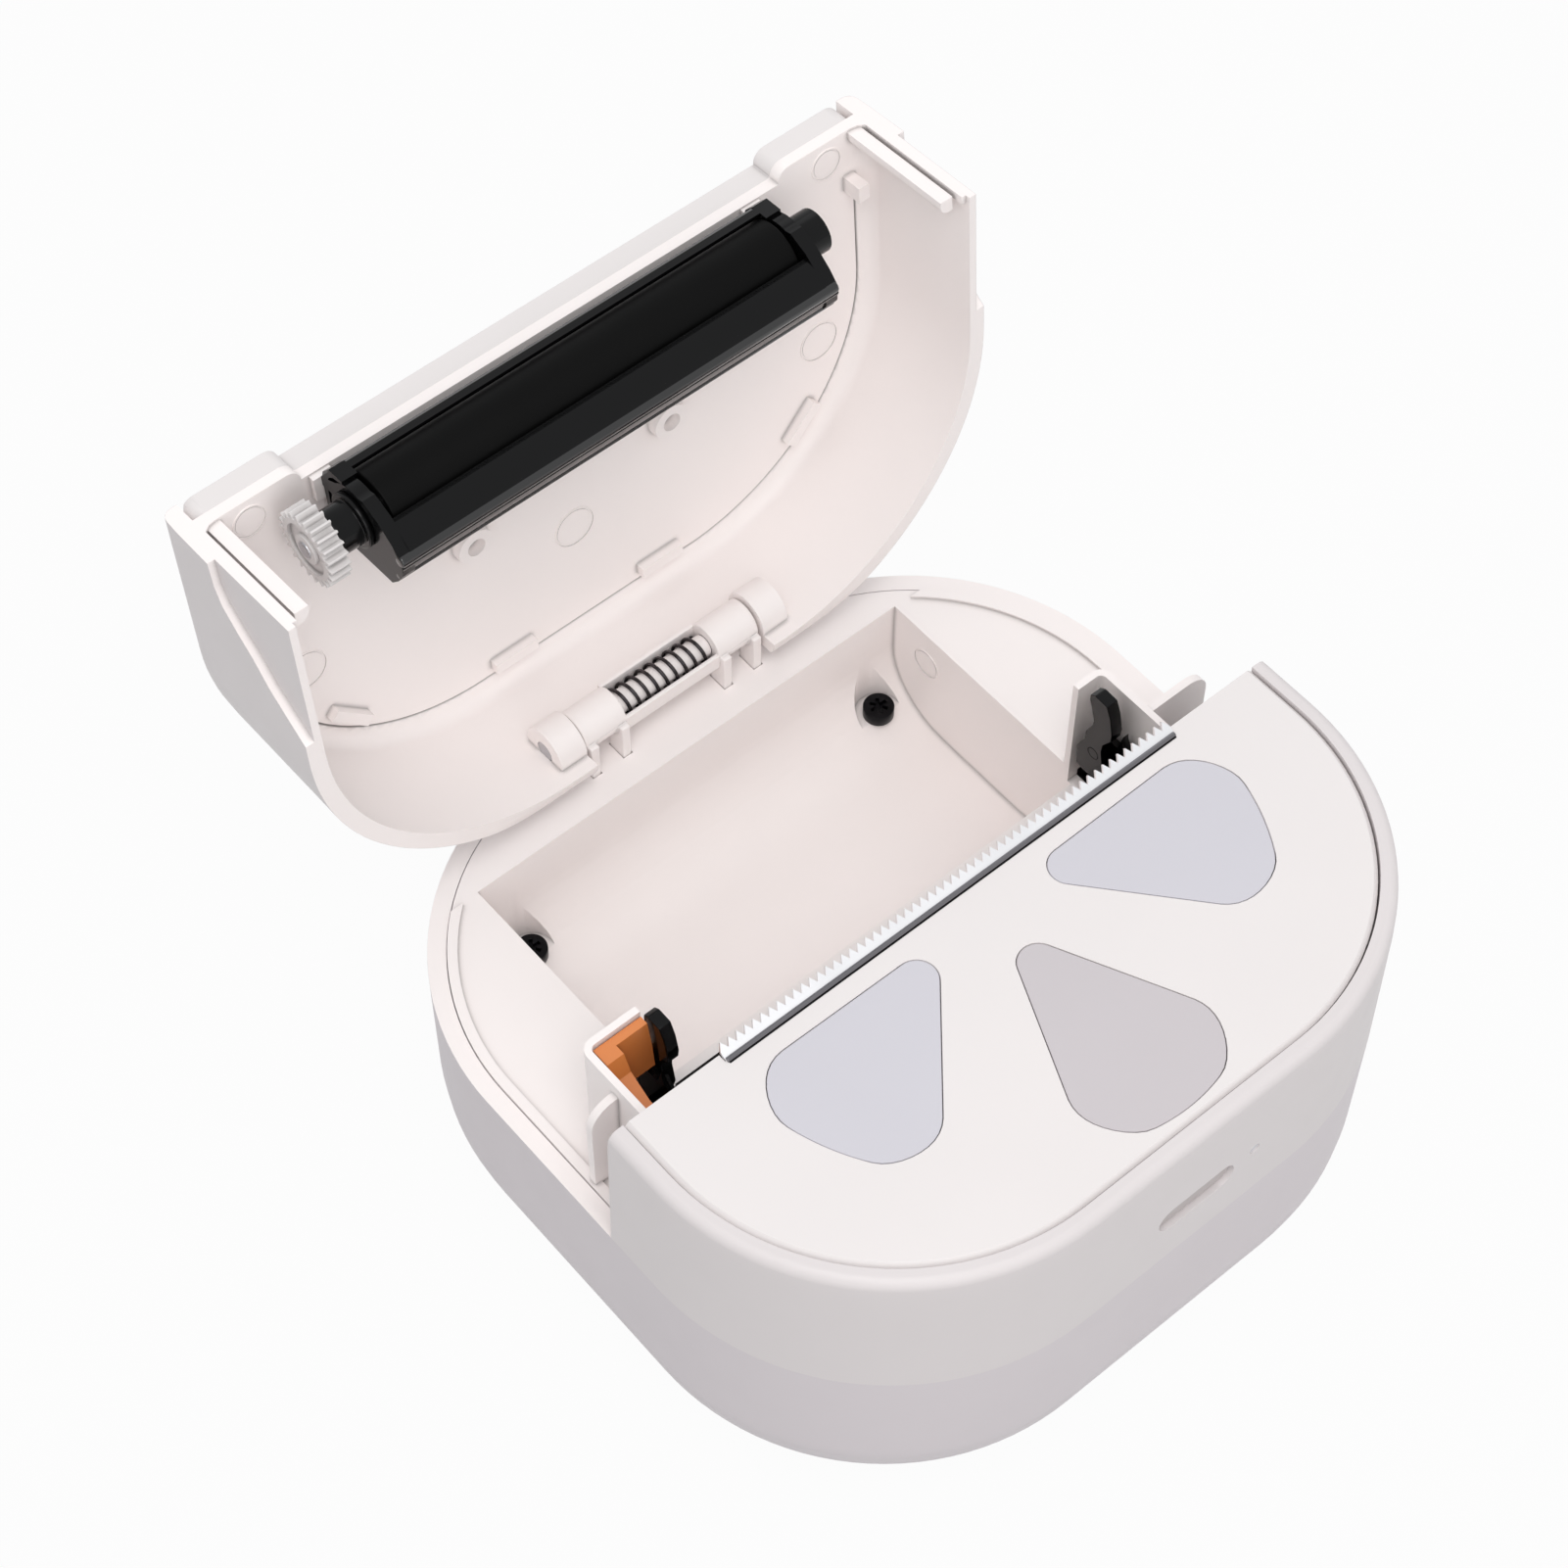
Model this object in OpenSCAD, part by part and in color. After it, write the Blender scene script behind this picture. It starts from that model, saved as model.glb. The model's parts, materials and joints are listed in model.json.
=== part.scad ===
// Pocket receipt printer with a drop-in paper bay, a hinged lid that carries the platen roller,
// and a thermal print mechanism under the front cover.
// Millimetres. Origin on the ground at the middle of the footprint, +Z up, front faces -Y.

/* [Body] */
// Width across the body
body_w = 88; // [86:0.5:92]
// Depth of the body, front to back
body_d = 87; // [86:0.5:92]
// Radius of the four corners seen from above
corner_r = 30; // [28:0.5:32]
// Height of the seam between the base and the covers
seam_z = 26; // [25:0.5:28]
// Height of the covers above the seam
cover_h = 20.4; // [20:0.1:21.5]
// Distance of the split between front cover and lid from the middle
split_y = -6.6; // [-6.8:0.1:-6.4]
// Depth of the vertical part of the base wall
base_straight = 15.5; // [14:0.5:17]
// How far the base rounds in at the bottom
base_round = 5.7; // [5:0.1:6.4]
// Wall thickness of the base shell
base_wall = 2; // [1.8:0.1:2.1]
// Height of the non-slip pad below the base shell
foot_h = 0.8; // [0.6:0.1:1]
// Distance of the pad's edge from the body's edge
foot_inset = 8; // [7.5:0.5:9]

/* [Covers] */
// Wall thickness of the front cover and the lid
cover_wall = 1.9; // [1.7:0.1:2]
// Distance from the outer edge to the groove around the inlaid panels
panel_inset = 2.3; // [2.2:0.1:2.6]
// Width of the groove around the inlaid panels
panel_gap = 0.2; // [0.15:0.05:0.3]
// Thickness of the inlaid top plate and the lid panel
panel_t = 2.4; // [2.2:0.1:2.8]
// Radius of the top edge of the covers
edge_r = 1.2; // [1:0.1:1.5]
// Depth of the petal inlays in the top plate
petal_t = 0.8; // [0.6:0.1:1]
// Clearance between the closed lid and the front cover
lid_gap = 0.6; // [0.5:0.1:0.8]

/* [Paper bay] */
// Width of the body on each side of the paper bay
side_room = 14.7; // [14.4:0.1:15]
// Depth of the body behind the paper bay
rear_room = 9.3; // [9.1:0.1:9.9]
// Distance of the bay's front wall from the middle
bay_front_y = 4; // [3.6:0.2:4.4]
// Depth of the bay floor below the seam
bay_depth = 16; // [15:0.5:16.5]
// Radius of the cradle between the bay floor and its walls
cradle_r = 9; // [8:0.5:9.5]
// Wall thickness of the tray
tray_wall = 1.4; // [1.2:0.1:1.5]
// Distance of the two tray screws from the ends of the bay
tray_screw_in = 4.3; // [3.8:0.1:5.2]
// Diameter of the tray screw heads
screw_head_d = 3.6; // [3.4:0.1:4]

/* [Tear blade] */
// How far the tear blade reaches past each end of the bay
blade_over = 0.45; // [0:0.05:0.5]
// Thickness of the blade steel
blade_t = 0.4; // [0.3:0.05:0.5]
// Number of teeth on the tear blade
blade_teeth = 58; // [50:1:64]
// Height of the teeth
tooth_h = 0.85; // [0.6:0.05:1]

/* [Hinge] */
// Distance of the hinge axis from the rear edge of the body
hinge_in = 2.6; // [2.5:0.1:2.8]
// Height of the hinge axis above the seam
hinge_rise = 5; // [4.8:0.1:5.2]
// Sideways place of the hinge's middle
hinge_x = 1; // [0:0.5:1.5]
// Diameter of the hinge pin
pin_d = 2.4; // [2:0.1:2.6]
// Radial clearance of a running fit
run_fit = 0.05; // [0.03:0.01:0.08]
// Outer diameter of the fixed hinge barrels
barrel_d = 5; // [4.8:0.1:5.2]
// Length of each fixed barrel
barrel_len = 5.6; // [5:0.1:6]
// Distance between the fixed barrels, where the spring shows
spring_gap = 12.8; // [12:0.2:13.4]
// Length of each end cap on the lid
cap_len = 3.4; // [3:0.1:3.8]
// Angle between the closed lid and the open lid
lid_open = 94.5; // [90:0.5:97]
// Wire diameter of the torsion spring
wire_d = 0.5; // [0.4:0.05:0.6]
// Number of coils in the torsion spring
spring_coils = 9; // [7:1:10]

/* [Platen] */
// Height of the platen axis above the seam, lid closed
platen_rise = 10.1; // [9.9:0.1:10.3]
// Distance of the platen axis from the middle, lid closed
platen_y = -2.6; // [-2.7:0.1:-2.5]
// Diameter of the rubber roller
roller_d = 8.2; // [7.8:0.1:8.4]
// Clearance between the roller and the bracket's end plates
roller_gap = 0.5; // [0.3:0.1:0.8]
// Diameter of the steel platen shaft
shaft_d = 3; // [2.6:0.1:3.2]
// Outer diameter of the platen bushings
bush_d = 5; // [4.8:0.1:5.2]
// Distance between the bracket and the bay's end on the gear side
bracket_gap = 0.8; // [0.6:0.1:1]
// Distance between the bracket and the bay's end on the far side
bracket_far_gap = 2.7; // [2.4:0.1:3]
// Thickness of the bracket's end plates
plate_t = 1.5; // [1.3:0.1:1.6]
// Module of the gear teeth
gear_m = 0.36; // [0.34:0.01:0.37]
// Teeth on the platen gear
platen_teeth = 22; // [20:1:22]
// Width of the gears
gear_w = 2.4; // [2:0.1:2.6]

/* [Mechanism] */
// Teeth on the idler gear
idler_teeth = 26; // [24:1:28]
// Teeth on the motor pinion
pinion_teeth = 12; // [11:1:13]
// Diameter of the stepper motor
motor_d = 14; // [12:0.5:14]
// Length of the stepper motor
motor_len = 10.5; // [9:0.5:12]
// Thickness of the latch levers
latch_t = 1.5; // [1.3:0.1:1.6]
// Height of the latch pivot above the seam
latch_rise = 6.1; // [5.9:0.1:6.3]
// Distance of the latch pivot from the middle
latch_y = 2.6; // [2.5:0.1:2.7]
// Diameter of the latch pivot pins
latch_pin_d = 1.4; // [1.2:0.1:1.6]
// Height of the walled box around the gear side, above the seam
box_h = 15.9; // [15:0.1:16]
// Height of the walled pocket on the right, above the seam
pocket_h = 14.4; // [13.8:0.1:15]
// Width of the box from the end of the bay
box_w = 8.9; // [8.7:0.1:9.3]
// Width of the pocket from the end of the bay
pocket_w = 4.1; // [3.9:0.1:4.5]

/* [Controls] */
// Length of the pill-shaped power button
button_w = 9.8; // [9:0.1:11]
// Height of the power button
button_h = 3.2; // [2.8:0.1:3.6]
// Height of the power button's centre above the seam
button_rise = 7.9; // [7:0.1:9]
// Travel of the power button
button_travel = 0.5; // [0.3:0.1:0.6]
// Diameter of the indicator window
led_d = 1.3; // [1.1:0.1:1.6]
// Sideways place of the indicator
led_x = 7.8; // [7.6:0.1:9]
// Height of the indicator above the seam
led_rise = 8.7; // [8:0.1:9.4]

/* [Hidden] */
$fn = 48;
eps = 0.01;
big = 200;

bay_w = body_w - 2 * side_room;         // width of the bay for the paper roll
bay_rear_y = body_d / 2 - rear_room;
hinge_y = body_d / 2 - hinge_in;
blade_len = bay_w + 2 * blade_over;
tray_screw_x = bay_w / 2 - tray_screw_in;
box_x = bay_w / 2 + box_w;              // outer wall of the box, from the middle plane
pocket_x = bay_w / 2 + pocket_w;
bracket_x0 = -bay_w / 2 + bracket_gap;  // outer faces of the bracket's end plates
bracket_x1 = bay_w / 2 - bracket_far_gap;
roller_x0 = bracket_x0 + plate_t + roller_gap;
roller_x1 = bracket_x1 - plate_t - roller_gap;
top_z = seam_z + cover_h;
base_z = foot_h;                        // underside of the base shell
bracket_t = 2;                          // foot plate of the hinge bracket
frame_front_y = -17;                    // front of the mechanism's frame
cover_seam_drop = seam_z - base_z;
hinge_z = seam_z + hinge_rise;
platen_z = seam_z + platen_rise;
bay_floor_z = seam_z - bay_depth;
split_front = split_y;                  // rear face of the front cover
lid_front = split_y + lid_gap;          // front faces of the closed lid
panel_seat_z = top_z - panel_t;         // where the inlaid panels rest
panel_sink = 0.3;                       // the lid panel is this much thicker than the top plate
shell_roof_t = 1.4;                     // lid roof under the panel
lid_roof_z = panel_seat_z - panel_sink - shell_roof_t;
tray_inset = base_wall + 0.1;           // tray edge inside the base rim
lip_w = 1.1;                            // raised lip on the tray edge
lip_h = 0.4;
slot_half = blade_len / 2 + 0.5;        // half width of the paper exit
slot_back = 1.6;                        // how far the lid's edge steps back there
slot_round = 1.5;                       // rounding of the corners beside the exit

// ---------- shared shapes ----------

// Sweep a (y, z) outline from x0 to x1.
module along_x(x0, x1) translate([x0, 0, 0]) rotate([90, 0, 90]) linear_extrude(x1 - x0) children();

// Solid with a rounded-rectangle plan whose wall follows a list of [inset, z] points.
module plan_solid(w, d, r, prof) {
    z0 = prof[0][1];
    z1 = prof[len(prof) - 1][1];
    corner = concat([[0, z0]], [for (p = prof) [r - p[0], p[1]]], [[0, z1]]);
    for (sx = [-1, 1], sy = [-1, 1])
        translate([sx * (w / 2 - r), sy * (d / 2 - r), 0]) rotate_extrude($fn = 96) polygon(corner);
    bar_y = concat([for (p = prof) [d / 2 - p[0], p[1]]],
        [for (i = [len(prof) - 1:-1:0]) [-d / 2 + prof[i][0], prof[i][1]]]);
    bar_x = concat([for (p = prof) [w / 2 - p[0], p[1]]],
        [for (i = [len(prof) - 1:-1:0]) [-w / 2 + prof[i][0], prof[i][1]]]);
    along_x(-w / 2 + r, w / 2 - r) polygon(bar_y);
    translate([0, d / 2 - r, 0]) rotate([90, 0, 0]) linear_extrude(d - 2 * r) polygon(bar_x);
}

// Plain block with the body's plan, set in by an amount.
module plan_block(inset, z0, z1)
    plan_solid(body_w, body_d, corner_r, [[inset, z0], [inset, z1]]);

// Everything in front of y.
module ahead_of(y) translate([-big / 2, y - big, -big / 2]) cube([big, big, big]);

// Everything behind y.
module behind(y) translate([-big / 2, y, -big / 2]) cube([big, big, big]);

// Box from two corners.
module block(a, b) translate(a) cube([b[0] - a[0], b[1] - a[1], b[2] - a[2]]);

// Cylinder along X.
module rod_x(x0, x1, d, y = 0, z = 0, fn = 48)
    translate([x0, y, z]) rotate([0, 90, 0]) cylinder(h = x1 - x0, d = d, $fn = fn);

// Cylinder along Y.
module rod_y(y0, y1, d, x = 0, z = 0, fn = 48)
    translate([x, y0, z]) rotate([-90, 0, 0]) cylinder(h = y1 - y0, d = d, $fn = fn);

// Pill-shaped bar along Y, with its middle at (x, z).
module pill_y(y0, y1, w, h, x, z) {
    for (s = [-1, 1]) rod_y(y0, y1, h, x + s * (w - h) / 2, z);
    block([x - (w - h) / 2, y0, z - h / 2], [x + (w - h) / 2, y1, z + h / 2]);
}

// Box on the right (s = 1) or left (s = -1) between two distances from the middle plane.
module side_block(s, x0, x1, y0, y1, z0, z1)
    translate([s > 0 ? x0 : -x1, y0, z0]) cube([x1 - x0, y1 - y0, z1 - z0]);

// Sweep a (y, z) outline on the right or left between two distances from the middle plane.
module side_along_x(s, x0, x1) along_x(s > 0 ? x0 : -x1, s > 0 ? x1 : -x0) children();

// Rod on the right or left between two distances from the middle plane.
module side_rod(s, x0, x1, d, y, z) rod_x(s > 0 ? x0 : -x1, s > 0 ? x1 : -x0, d, y, z);

// Put closed-lid geometry in its open place.
module lid_placed() translate([0, hinge_y, hinge_z]) rotate([-lid_open, 0, 0])
    translate([0, -hinge_y, -hinge_z]) children();

// Tip radius of a gear.
function gear_tip(teeth) = gear_m * (teeth / 2 + 0.9);

// Spur gear along X with straight-flanked teeth; phase turns it about its own axis.
module gear_x(x0, w, teeth, bore, phase = 0) {
    tip_r = gear_tip(teeth);
    root_r = gear_m * (teeth / 2 - 1.15);
    step = 360 / teeth;
    translate([x0, 0, 0]) rotate([90, 0, 90]) linear_extrude(w) difference() {
        polygon([for (i = [0:teeth - 1])
            for (k = [[-0.27, root_r], [-0.1, tip_r], [0.1, tip_r], [0.27, root_r]])
            [k[1] * cos((i + k[0]) * step + phase), k[1] * sin((i + k[0]) * step + phase)]]);
        circle(d = bore);
    }
}

// Cap screw pointing down, head seat at z = 0.
module screw_down(head_d, head_h, shank_d, shank_len) {
    difference() {
        cylinder(h = head_h, d = head_d);
        translate([0, 0, head_h - 0.6]) for (a = [0, 60, 120]) rotate(a)
            translate([-head_d * 0.3, -0.22, 0]) cube([head_d * 0.6, 0.44, 1]);
    }
    translate([0, 0, -shank_len]) cylinder(h = shank_len + eps, d = shank_d);
}

// ---------- base ----------

base_bottom_prof = [for (k = [0:6]) let (a = 90 * k / 6)
    [base_round * (1 - sin(a)), base_z + (cover_seam_drop - base_straight) * (1 - cos(a))]];
base_prof = concat(base_bottom_prof, [[0, seam_z]]);
base_floor_z = base_z + base_wall;
base_inner_prof = concat(
    [for (p = base_bottom_prof) [p[0] + base_wall, p[1] + base_wall * (1 - p[1] / seam_z)]],
    [[base_wall, seam_z + 1]]);
post_d = 5.5;
pilot_d = 1.6;
screw_pass_d = 2.4;                     // hole that a screw's shank passes through
pilot_depth = 6;
tray_gap = 0.2;
board_hole_gap = 0.3;
shoulder_d = post_d + 2;                // wider foot of the front posts that the board rests on
front_post_x = body_w / 2 - 27;
front_post_y = -body_d / 2 + 11;
side_post_x = body_w / 2 - 14;
side_post_y = frame_front_y - 5;
front_posts = [[-front_post_x, front_post_y], [front_post_x, front_post_y]];
cover_posts = concat([[-side_post_x, side_post_y], [side_post_x, side_post_y]], front_posts);
tray_screw_y = bay_rear_y - 2.7;
tray_ledge_z = bay_floor_z + 2.2;
tray_t = 1.6;                           // plate around the bay
base_post_top = tray_ledge_z - tray_wall;
cover_post_z = seam_z - 4;              // where the base posts meet the cover's towers
base_screw_seat = base_z + 10;
base_screw_len = seam_z - 10;
rim_ledge_w = 1.4;
shelf_z = seam_z - tray_t - bracket_t;  // top of the shelf that carries the hinge bracket
// x and y limits of the base's columns for the frame's feet
frame_rest = [bay_w / 2 - 5, bay_w / 2 - 1.3, frame_front_y - 2.7, frame_front_y + 3];
board_half = bay_w / 2 - 3.3;
board_y = [-body_d / 2 + 5.1, frame_front_y - 3];
board_rest_w = 1.6;
board_rest_d = 3;
usb_rest_x = [6, 9];
root = 0.3;                             // how far a rib or post runs into the wall it grows from

module base_shell() {
    color([0.80, 0.78, 0.79]) difference() {
        union() {
            difference() {
                plan_solid(body_w, body_d, corner_r, base_prof);
                plan_solid(body_w, body_d, corner_r, base_inner_prof);
            }
            // ledge under the edge of the tray
            intersection() {
                difference() {
                    plan_block(base_wall - root, seam_z - tray_t - 2, seam_z - tray_t);
                    plan_block(base_wall + rim_ledge_w, seam_z - big, seam_z + 1);
                }
                difference() {
                    behind(tray_front);
                    block([hinge_x - shelf_half - tray_gap, 0, 0],
                        [hinge_x + shelf_half + tray_gap, big, big]);
                }
            }
            // shelf under the hinge bracket
            block([hinge_x - shelf_half, bay_rear_y + tray_wall + 0.4, shelf_z - 2],
                [hinge_x + shelf_half, body_d / 2 - base_wall + root, shelf_z]);
            for (s = [-1, 1]) {
                translate([s * tray_screw_x, tray_screw_y, base_floor_z - root])
                    cylinder(h = base_post_top - base_floor_z + root, d = post_d);
                side_block(s, frame_rest[0], frame_rest[1], frame_rest[2], frame_rest[3],
                    base_floor_z - root, frame_floor_z);
                side_block(s, board_half - board_rest_w, board_half, board_y[1] - board_rest_d, board_y[1],
                    base_floor_z - root, board_z);
                side_block(s, usb_rest_x[0], usb_rest_x[1], usb_board_y[0], usb_board_y[1],
                    base_floor_z - root, usb_board_z);
            }
            for (p = cover_posts) translate([p[0], p[1], base_floor_z - root])
                cylinder(h = cover_post_z - base_floor_z + root, d = post_d);
            for (p = front_posts) translate([p[0], p[1], base_floor_z - root])
                cylinder(h = board_z - base_floor_z + root, d = shoulder_d);
        }
        for (s = [-1, 1]) {
            translate([s * tray_screw_x, tray_screw_y, base_floor_z + 1]) cylinder(h = seam_z, d = pilot_d);
            translate([s * frame_screw_x, frame_screw_y, frame_floor_z - pilot_depth])
                cylinder(h = pilot_depth + 1, d = pilot_d);
        }
        for (p = cover_posts) translate([p[0], p[1], base_z - 1]) {
            cylinder(h = seam_z, d = screw_pass_d);
            cylinder(h = base_screw_seat - base_z + 1, d = screw_head_d + 0.8);
        }
        plan_block(foot_inset, base_z - 1, base_z + foot_recess);
        along_x(-bay_w / 2 - tray_wall, bay_w / 2 + tray_wall) polygon(bay_outline(tray_wall));
        // charging port in the rear wall
        pill_y(body_d / 2 - base_wall - 2, body_d, usb_w + 0.4, usb_h + 0.4, 0, usb_z);
    }
}

foot_recess = 0.4;

// Silicone pad that also covers the base screws.
module foot_pad() color([0.20, 0.20, 0.21]) plan_block(foot_inset, 0, base_z + foot_recess);

module base_screws() {
    color([0.55, 0.55, 0.57]) for (p = cover_posts)
        translate([p[0], p[1], base_screw_seat]) rotate([180, 0, 0])
            screw_down(screw_head_d, 1.4, pilot_d, base_screw_len);
}

// ---------- tray ----------

// Outline of the bay seen from the side, grown outwards by g; open at the top.
function bay_outline(g) = let (yr = bay_rear_y + g, yf = bay_front_y - g, zf = bay_floor_z - g,
    r = cradle_r + g, cr = [bay_rear_y - cradle_r, bay_floor_z + cradle_r],
    cf = [bay_front_y + cradle_r, bay_floor_z + cradle_r]) concat(
    [[yf, seam_z + (g > 0 ? 0 : 1)], [yf, cf[1]]],
    [for (k = [1:7]) let (a = 180 + 90 * k / 8) [cf[0] + r * cos(a), cf[1] + r * sin(a)]],
    [[cf[0], zf], [cr[0], zf]],
    [for (k = [1:7]) let (a = 270 + 90 * k / 8) [cr[0] + r * cos(a), cr[1] + r * sin(a)]],
    [[yr, cr[1]], [yr, seam_z + (g > 0 ? 0 : 1)]]);

tray_front = split_front + 0.4;         // the tray's plate ends just behind the front cover
box_wall = 0.8;
box_rear_y = 5;
pocket_rear_y = 6.5;
fin_y = -1.2;
fin_t = 0.9;
fin_x = body_w / 2 - 2.4;
fin_h = 14.2;
fin_r = 3;
corner_round = 1.5;
leg_t = 1.1;
leg_y = hinge_y - 0.8;
leg_w = 2.4;
leg_xs = [for (s = [-1, 1]) for (k = [0.7, barrel_len - 0.7]) hinge_x + s * (spring_gap / 2 + k)];
shelf_half = spring_gap / 2 + barrel_len + 0.5;

module fin(s, inner_x) color([0.93, 0.90, 0.89]) translate([0, fin_y + fin_t, 0]) rotate([90, 0, 0])
    linear_extrude(fin_t) polygon(concat(
        [[s * inner_x, seam_z - tray_t / 2], [s * fin_x, seam_z - tray_t / 2]],
        [for (k = [0:6]) let (a = 90 * k / 6)
            [s * (fin_x - fin_r + fin_r * cos(a)), seam_z + fin_h - fin_r + fin_r * sin(a)]],
        [[s * inner_x, seam_z + fin_h]]));

// Box with a rounded rear corner; open the inside with inset = wall.
module walled_box(s, x, rear, h, inset) difference() {
    side_block(s, bay_w / 2 - (inset > 0 ? 1 : 0), x - inset, tray_front - (inset > 0 ? 1 : 0), rear - inset,
        seam_z - tray_t - (inset > 0 ? 1 : 0), seam_z + h + inset);
    difference() {
        side_block(s, x - corner_round, x + 1, rear - corner_round, rear + 1, seam_z, big);
        translate([s * (x - corner_round), rear - corner_round, 0])
            cylinder(h = big, r = corner_round - inset);
    }
}

module tray() {
    color([0.95, 0.93, 0.92]) {
        difference() {
            union() {
                intersection() {
                    plan_block(tray_inset, seam_z - tray_t, seam_z);
                    behind(tray_front);
                }
                // raised lip along the edge
                intersection() {
                    difference() {
                        plan_block(tray_inset, seam_z - eps, seam_z + lip_h);
                        plan_block(tray_inset + lip_w, seam_z - 1, seam_z + lip_h + 1);
                    }
                    behind(tray_front);
                    block([-big, -big, 0], [big, hinge_y - 7, big]);
                }
                // bay
                along_x(-bay_w / 2 - tray_wall, bay_w / 2 + tray_wall) polygon(bay_outline(tray_wall));
                for (sx = [-1, 1]) translate([sx * tray_screw_x, tray_screw_y, tray_ledge_z - tray_wall])
                    cylinder(h = 6, d = screw_head_d + 2 * tray_wall + 2);
                // box round the gear side and pocket round the far latch
                walled_box(-1, box_x, box_rear_y, box_h, 0);
                walled_box(1, pocket_x, pocket_rear_y, pocket_h, 0);
                fin(-1, box_x - box_wall / 2);
                fin(1, pocket_x - box_wall / 2);
            }
            along_x(-bay_w / 2, bay_w / 2) polygon(bay_outline(0));
            for (sx = [-1, 1]) translate([sx * tray_screw_x, tray_screw_y, 0]) {
                translate([0, 0, tray_ledge_z]) cylinder(h = 8.8, d = screw_head_d + 2);
                translate([0, 0, bay_floor_z - 4]) cylinder(h = 10, d = pilot_d);
            }
            // open insides and undersides of the box and the pocket
            walled_box(-1, box_x, box_rear_y, box_h, box_wall);
            walled_box(1, pocket_x, pocket_rear_y, pocket_h, box_wall);
            // room for the left lever to tip back
            block([-frame_x, tray_front, seam_z], [-bay_w / 2 + 1, box_rear_y + 1, big]);
            // mechanism bay between them
            block([-frame_x - 1, tray_front - 1, seam_z - tray_t - 1],
                [frame_x + 1, bay_front_y - tray_wall - eps, big]);
            block([-bay_w / 2, tray_front - 1, seam_z], [bay_w / 2, bay_front_y + 1, big]);
            for (x = leg_xs) block([x - leg_t / 2 - 0.1, leg_y - leg_w - 0.1, 0],
                [x + leg_t / 2 + 0.1, leg_y + 0.1, big]);
        }
    }
}

module tray_screws() {
    color([0.08, 0.08, 0.09]) for (s = [-1, 1]) translate([s * tray_screw_x, tray_screw_y, tray_ledge_z])
        screw_down(screw_head_d, 1.5, pilot_d, 7);
}

// ---------- front cover ----------

cover_prof = concat([[0, seam_z], [0.3, top_z - 3]],
    [for (k = [0:4]) let (a = 90 * k / 4) [0.4 + edge_r * (1 - cos(a)), top_z - edge_r * (1 - sin(a))]]);
ledge_w = 1.6;
ledge_t = 1.6;
web_t = 1.2;
tie_h = 8;
web_gap = 0.4;
key_half = body_w / 2 - corner_r - 1;   // half width of the key board, inside the straight front wall
key_stud_x = key_half - 1.4;
button_gap = 0.15;
button_z = seam_z + button_rise;

module cover_outer() plan_solid(body_w, body_d, corner_r, cover_prof);

module front_cover() {
    color([0.90, 0.87, 0.86]) {
        difference() {
            intersection() {
                cover_outer();
                ahead_of(split_front);
            }
            plan_block(cover_wall, seam_z - 1, panel_seat_z - ledge_t);
            plan_block(panel_inset + ledge_w, seam_z - 1, top_z + 1);
            plan_block(panel_inset, panel_seat_z, top_z + 1);
            for (p = plate_screw_pos) translate([p[0], p[1], seam_z]) cylinder(h = cover_h, d = plate_screw_d);
            // button and indicator openings
            pill_y(-body_d, -body_d / 2 + 2 * cover_wall, button_w + 2 * button_gap, button_h + 2 * button_gap,
                0, button_z);
            rod_y(-body_d, -body_d / 2 + 2 * cover_wall, led_d, led_x, seam_z + led_rise);
        }
        // rear webs that close the cover beside the mechanism
        for (s = [-1, 1]) side_block(s, box_x + web_gap, body_w / 2 - cover_wall - root, split_front - web_t,
            split_front, seam_z, panel_seat_z);
        // studs that hold the key board
        for (s = [-1, 1])
            rod_y(-body_d / 2 + cover_wall - root, key_y, screw_pass_d, s * key_stud_x, seam_z + 5);
        // screw towers
        difference() {
            for (p = cover_posts) translate([p[0], p[1], cover_post_z])
                cylinder(h = panel_seat_z - ledge_t - cover_post_z, d = post_d);
            for (p = cover_posts) translate([p[0], p[1], cover_post_z - 1]) cylinder(h = 12, d = pilot_d);
        }
        // ties from the towers to the skirt
        for (p = cover_posts) cover_tie(p);
    }
}

// Web between a screw tower and the inside of the skirt.
module cover_tie(p) intersection() {
    plan_block(cover_wall - root, seam_z, panel_seat_z);
    translate([p[0], p[1], seam_z + 2])
        rotate(atan2(p[1] + body_d / 2 - corner_r, p[0] - sign(p[0]) * (body_w / 2 - corner_r)))
        translate([post_d / 2 - 2 * root, -web_t / 2, 0]) cube([corner_r, web_t, tie_h]);
}

// ---------- top plate and petals ----------

// One petal: a rounded triangle cut out of the plate's face; p holds its tip's place and its direction.
module petal(p, g = 0) translate([p[0], p[1], top_z - petal_t]) rotate(p[2])
    linear_extrude(petal_t + (g > 0 ? 1 : 0)) hull() {
        circle(r = petal_tip_r + g, $fn = 32);
        for (s = [-1, 1]) translate([petal_len, s * petal_half]) circle(r = petal_far_r + g, $fn = 32);
    }

// depth of the cover in front of the split, of which the petals' sizes are shares
plate_depth = body_d / 2 + split_front;
petal_side = [body_w * 0.116, split_front - plate_depth * 0.171, -28.5];
petal_left_p = [-petal_side[0], petal_side[1], 180 - petal_side[2]];
petal_front_p = [plate_depth * 0.022, split_front - plate_depth * 0.333, -90];
petal_tip_r = plate_depth * 0.06;
petal_far_r = plate_depth * 0.119;
petal_half = petal_far_r;
petal_len = plate_depth * 0.396;
petal_gap = 0.1;
blade_seat_y = split_front - 0.9;
plate_screw_d = 1.4;
plate_screw_x = body_w / 2 - 7;
plate_screw_y = split_front - plate_depth * 0.363;
plate_screw_pos = [[-plate_screw_x, plate_screw_y], [plate_screw_x, plate_screw_y], [0, -body_d / 2 + 4.1]];

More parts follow.
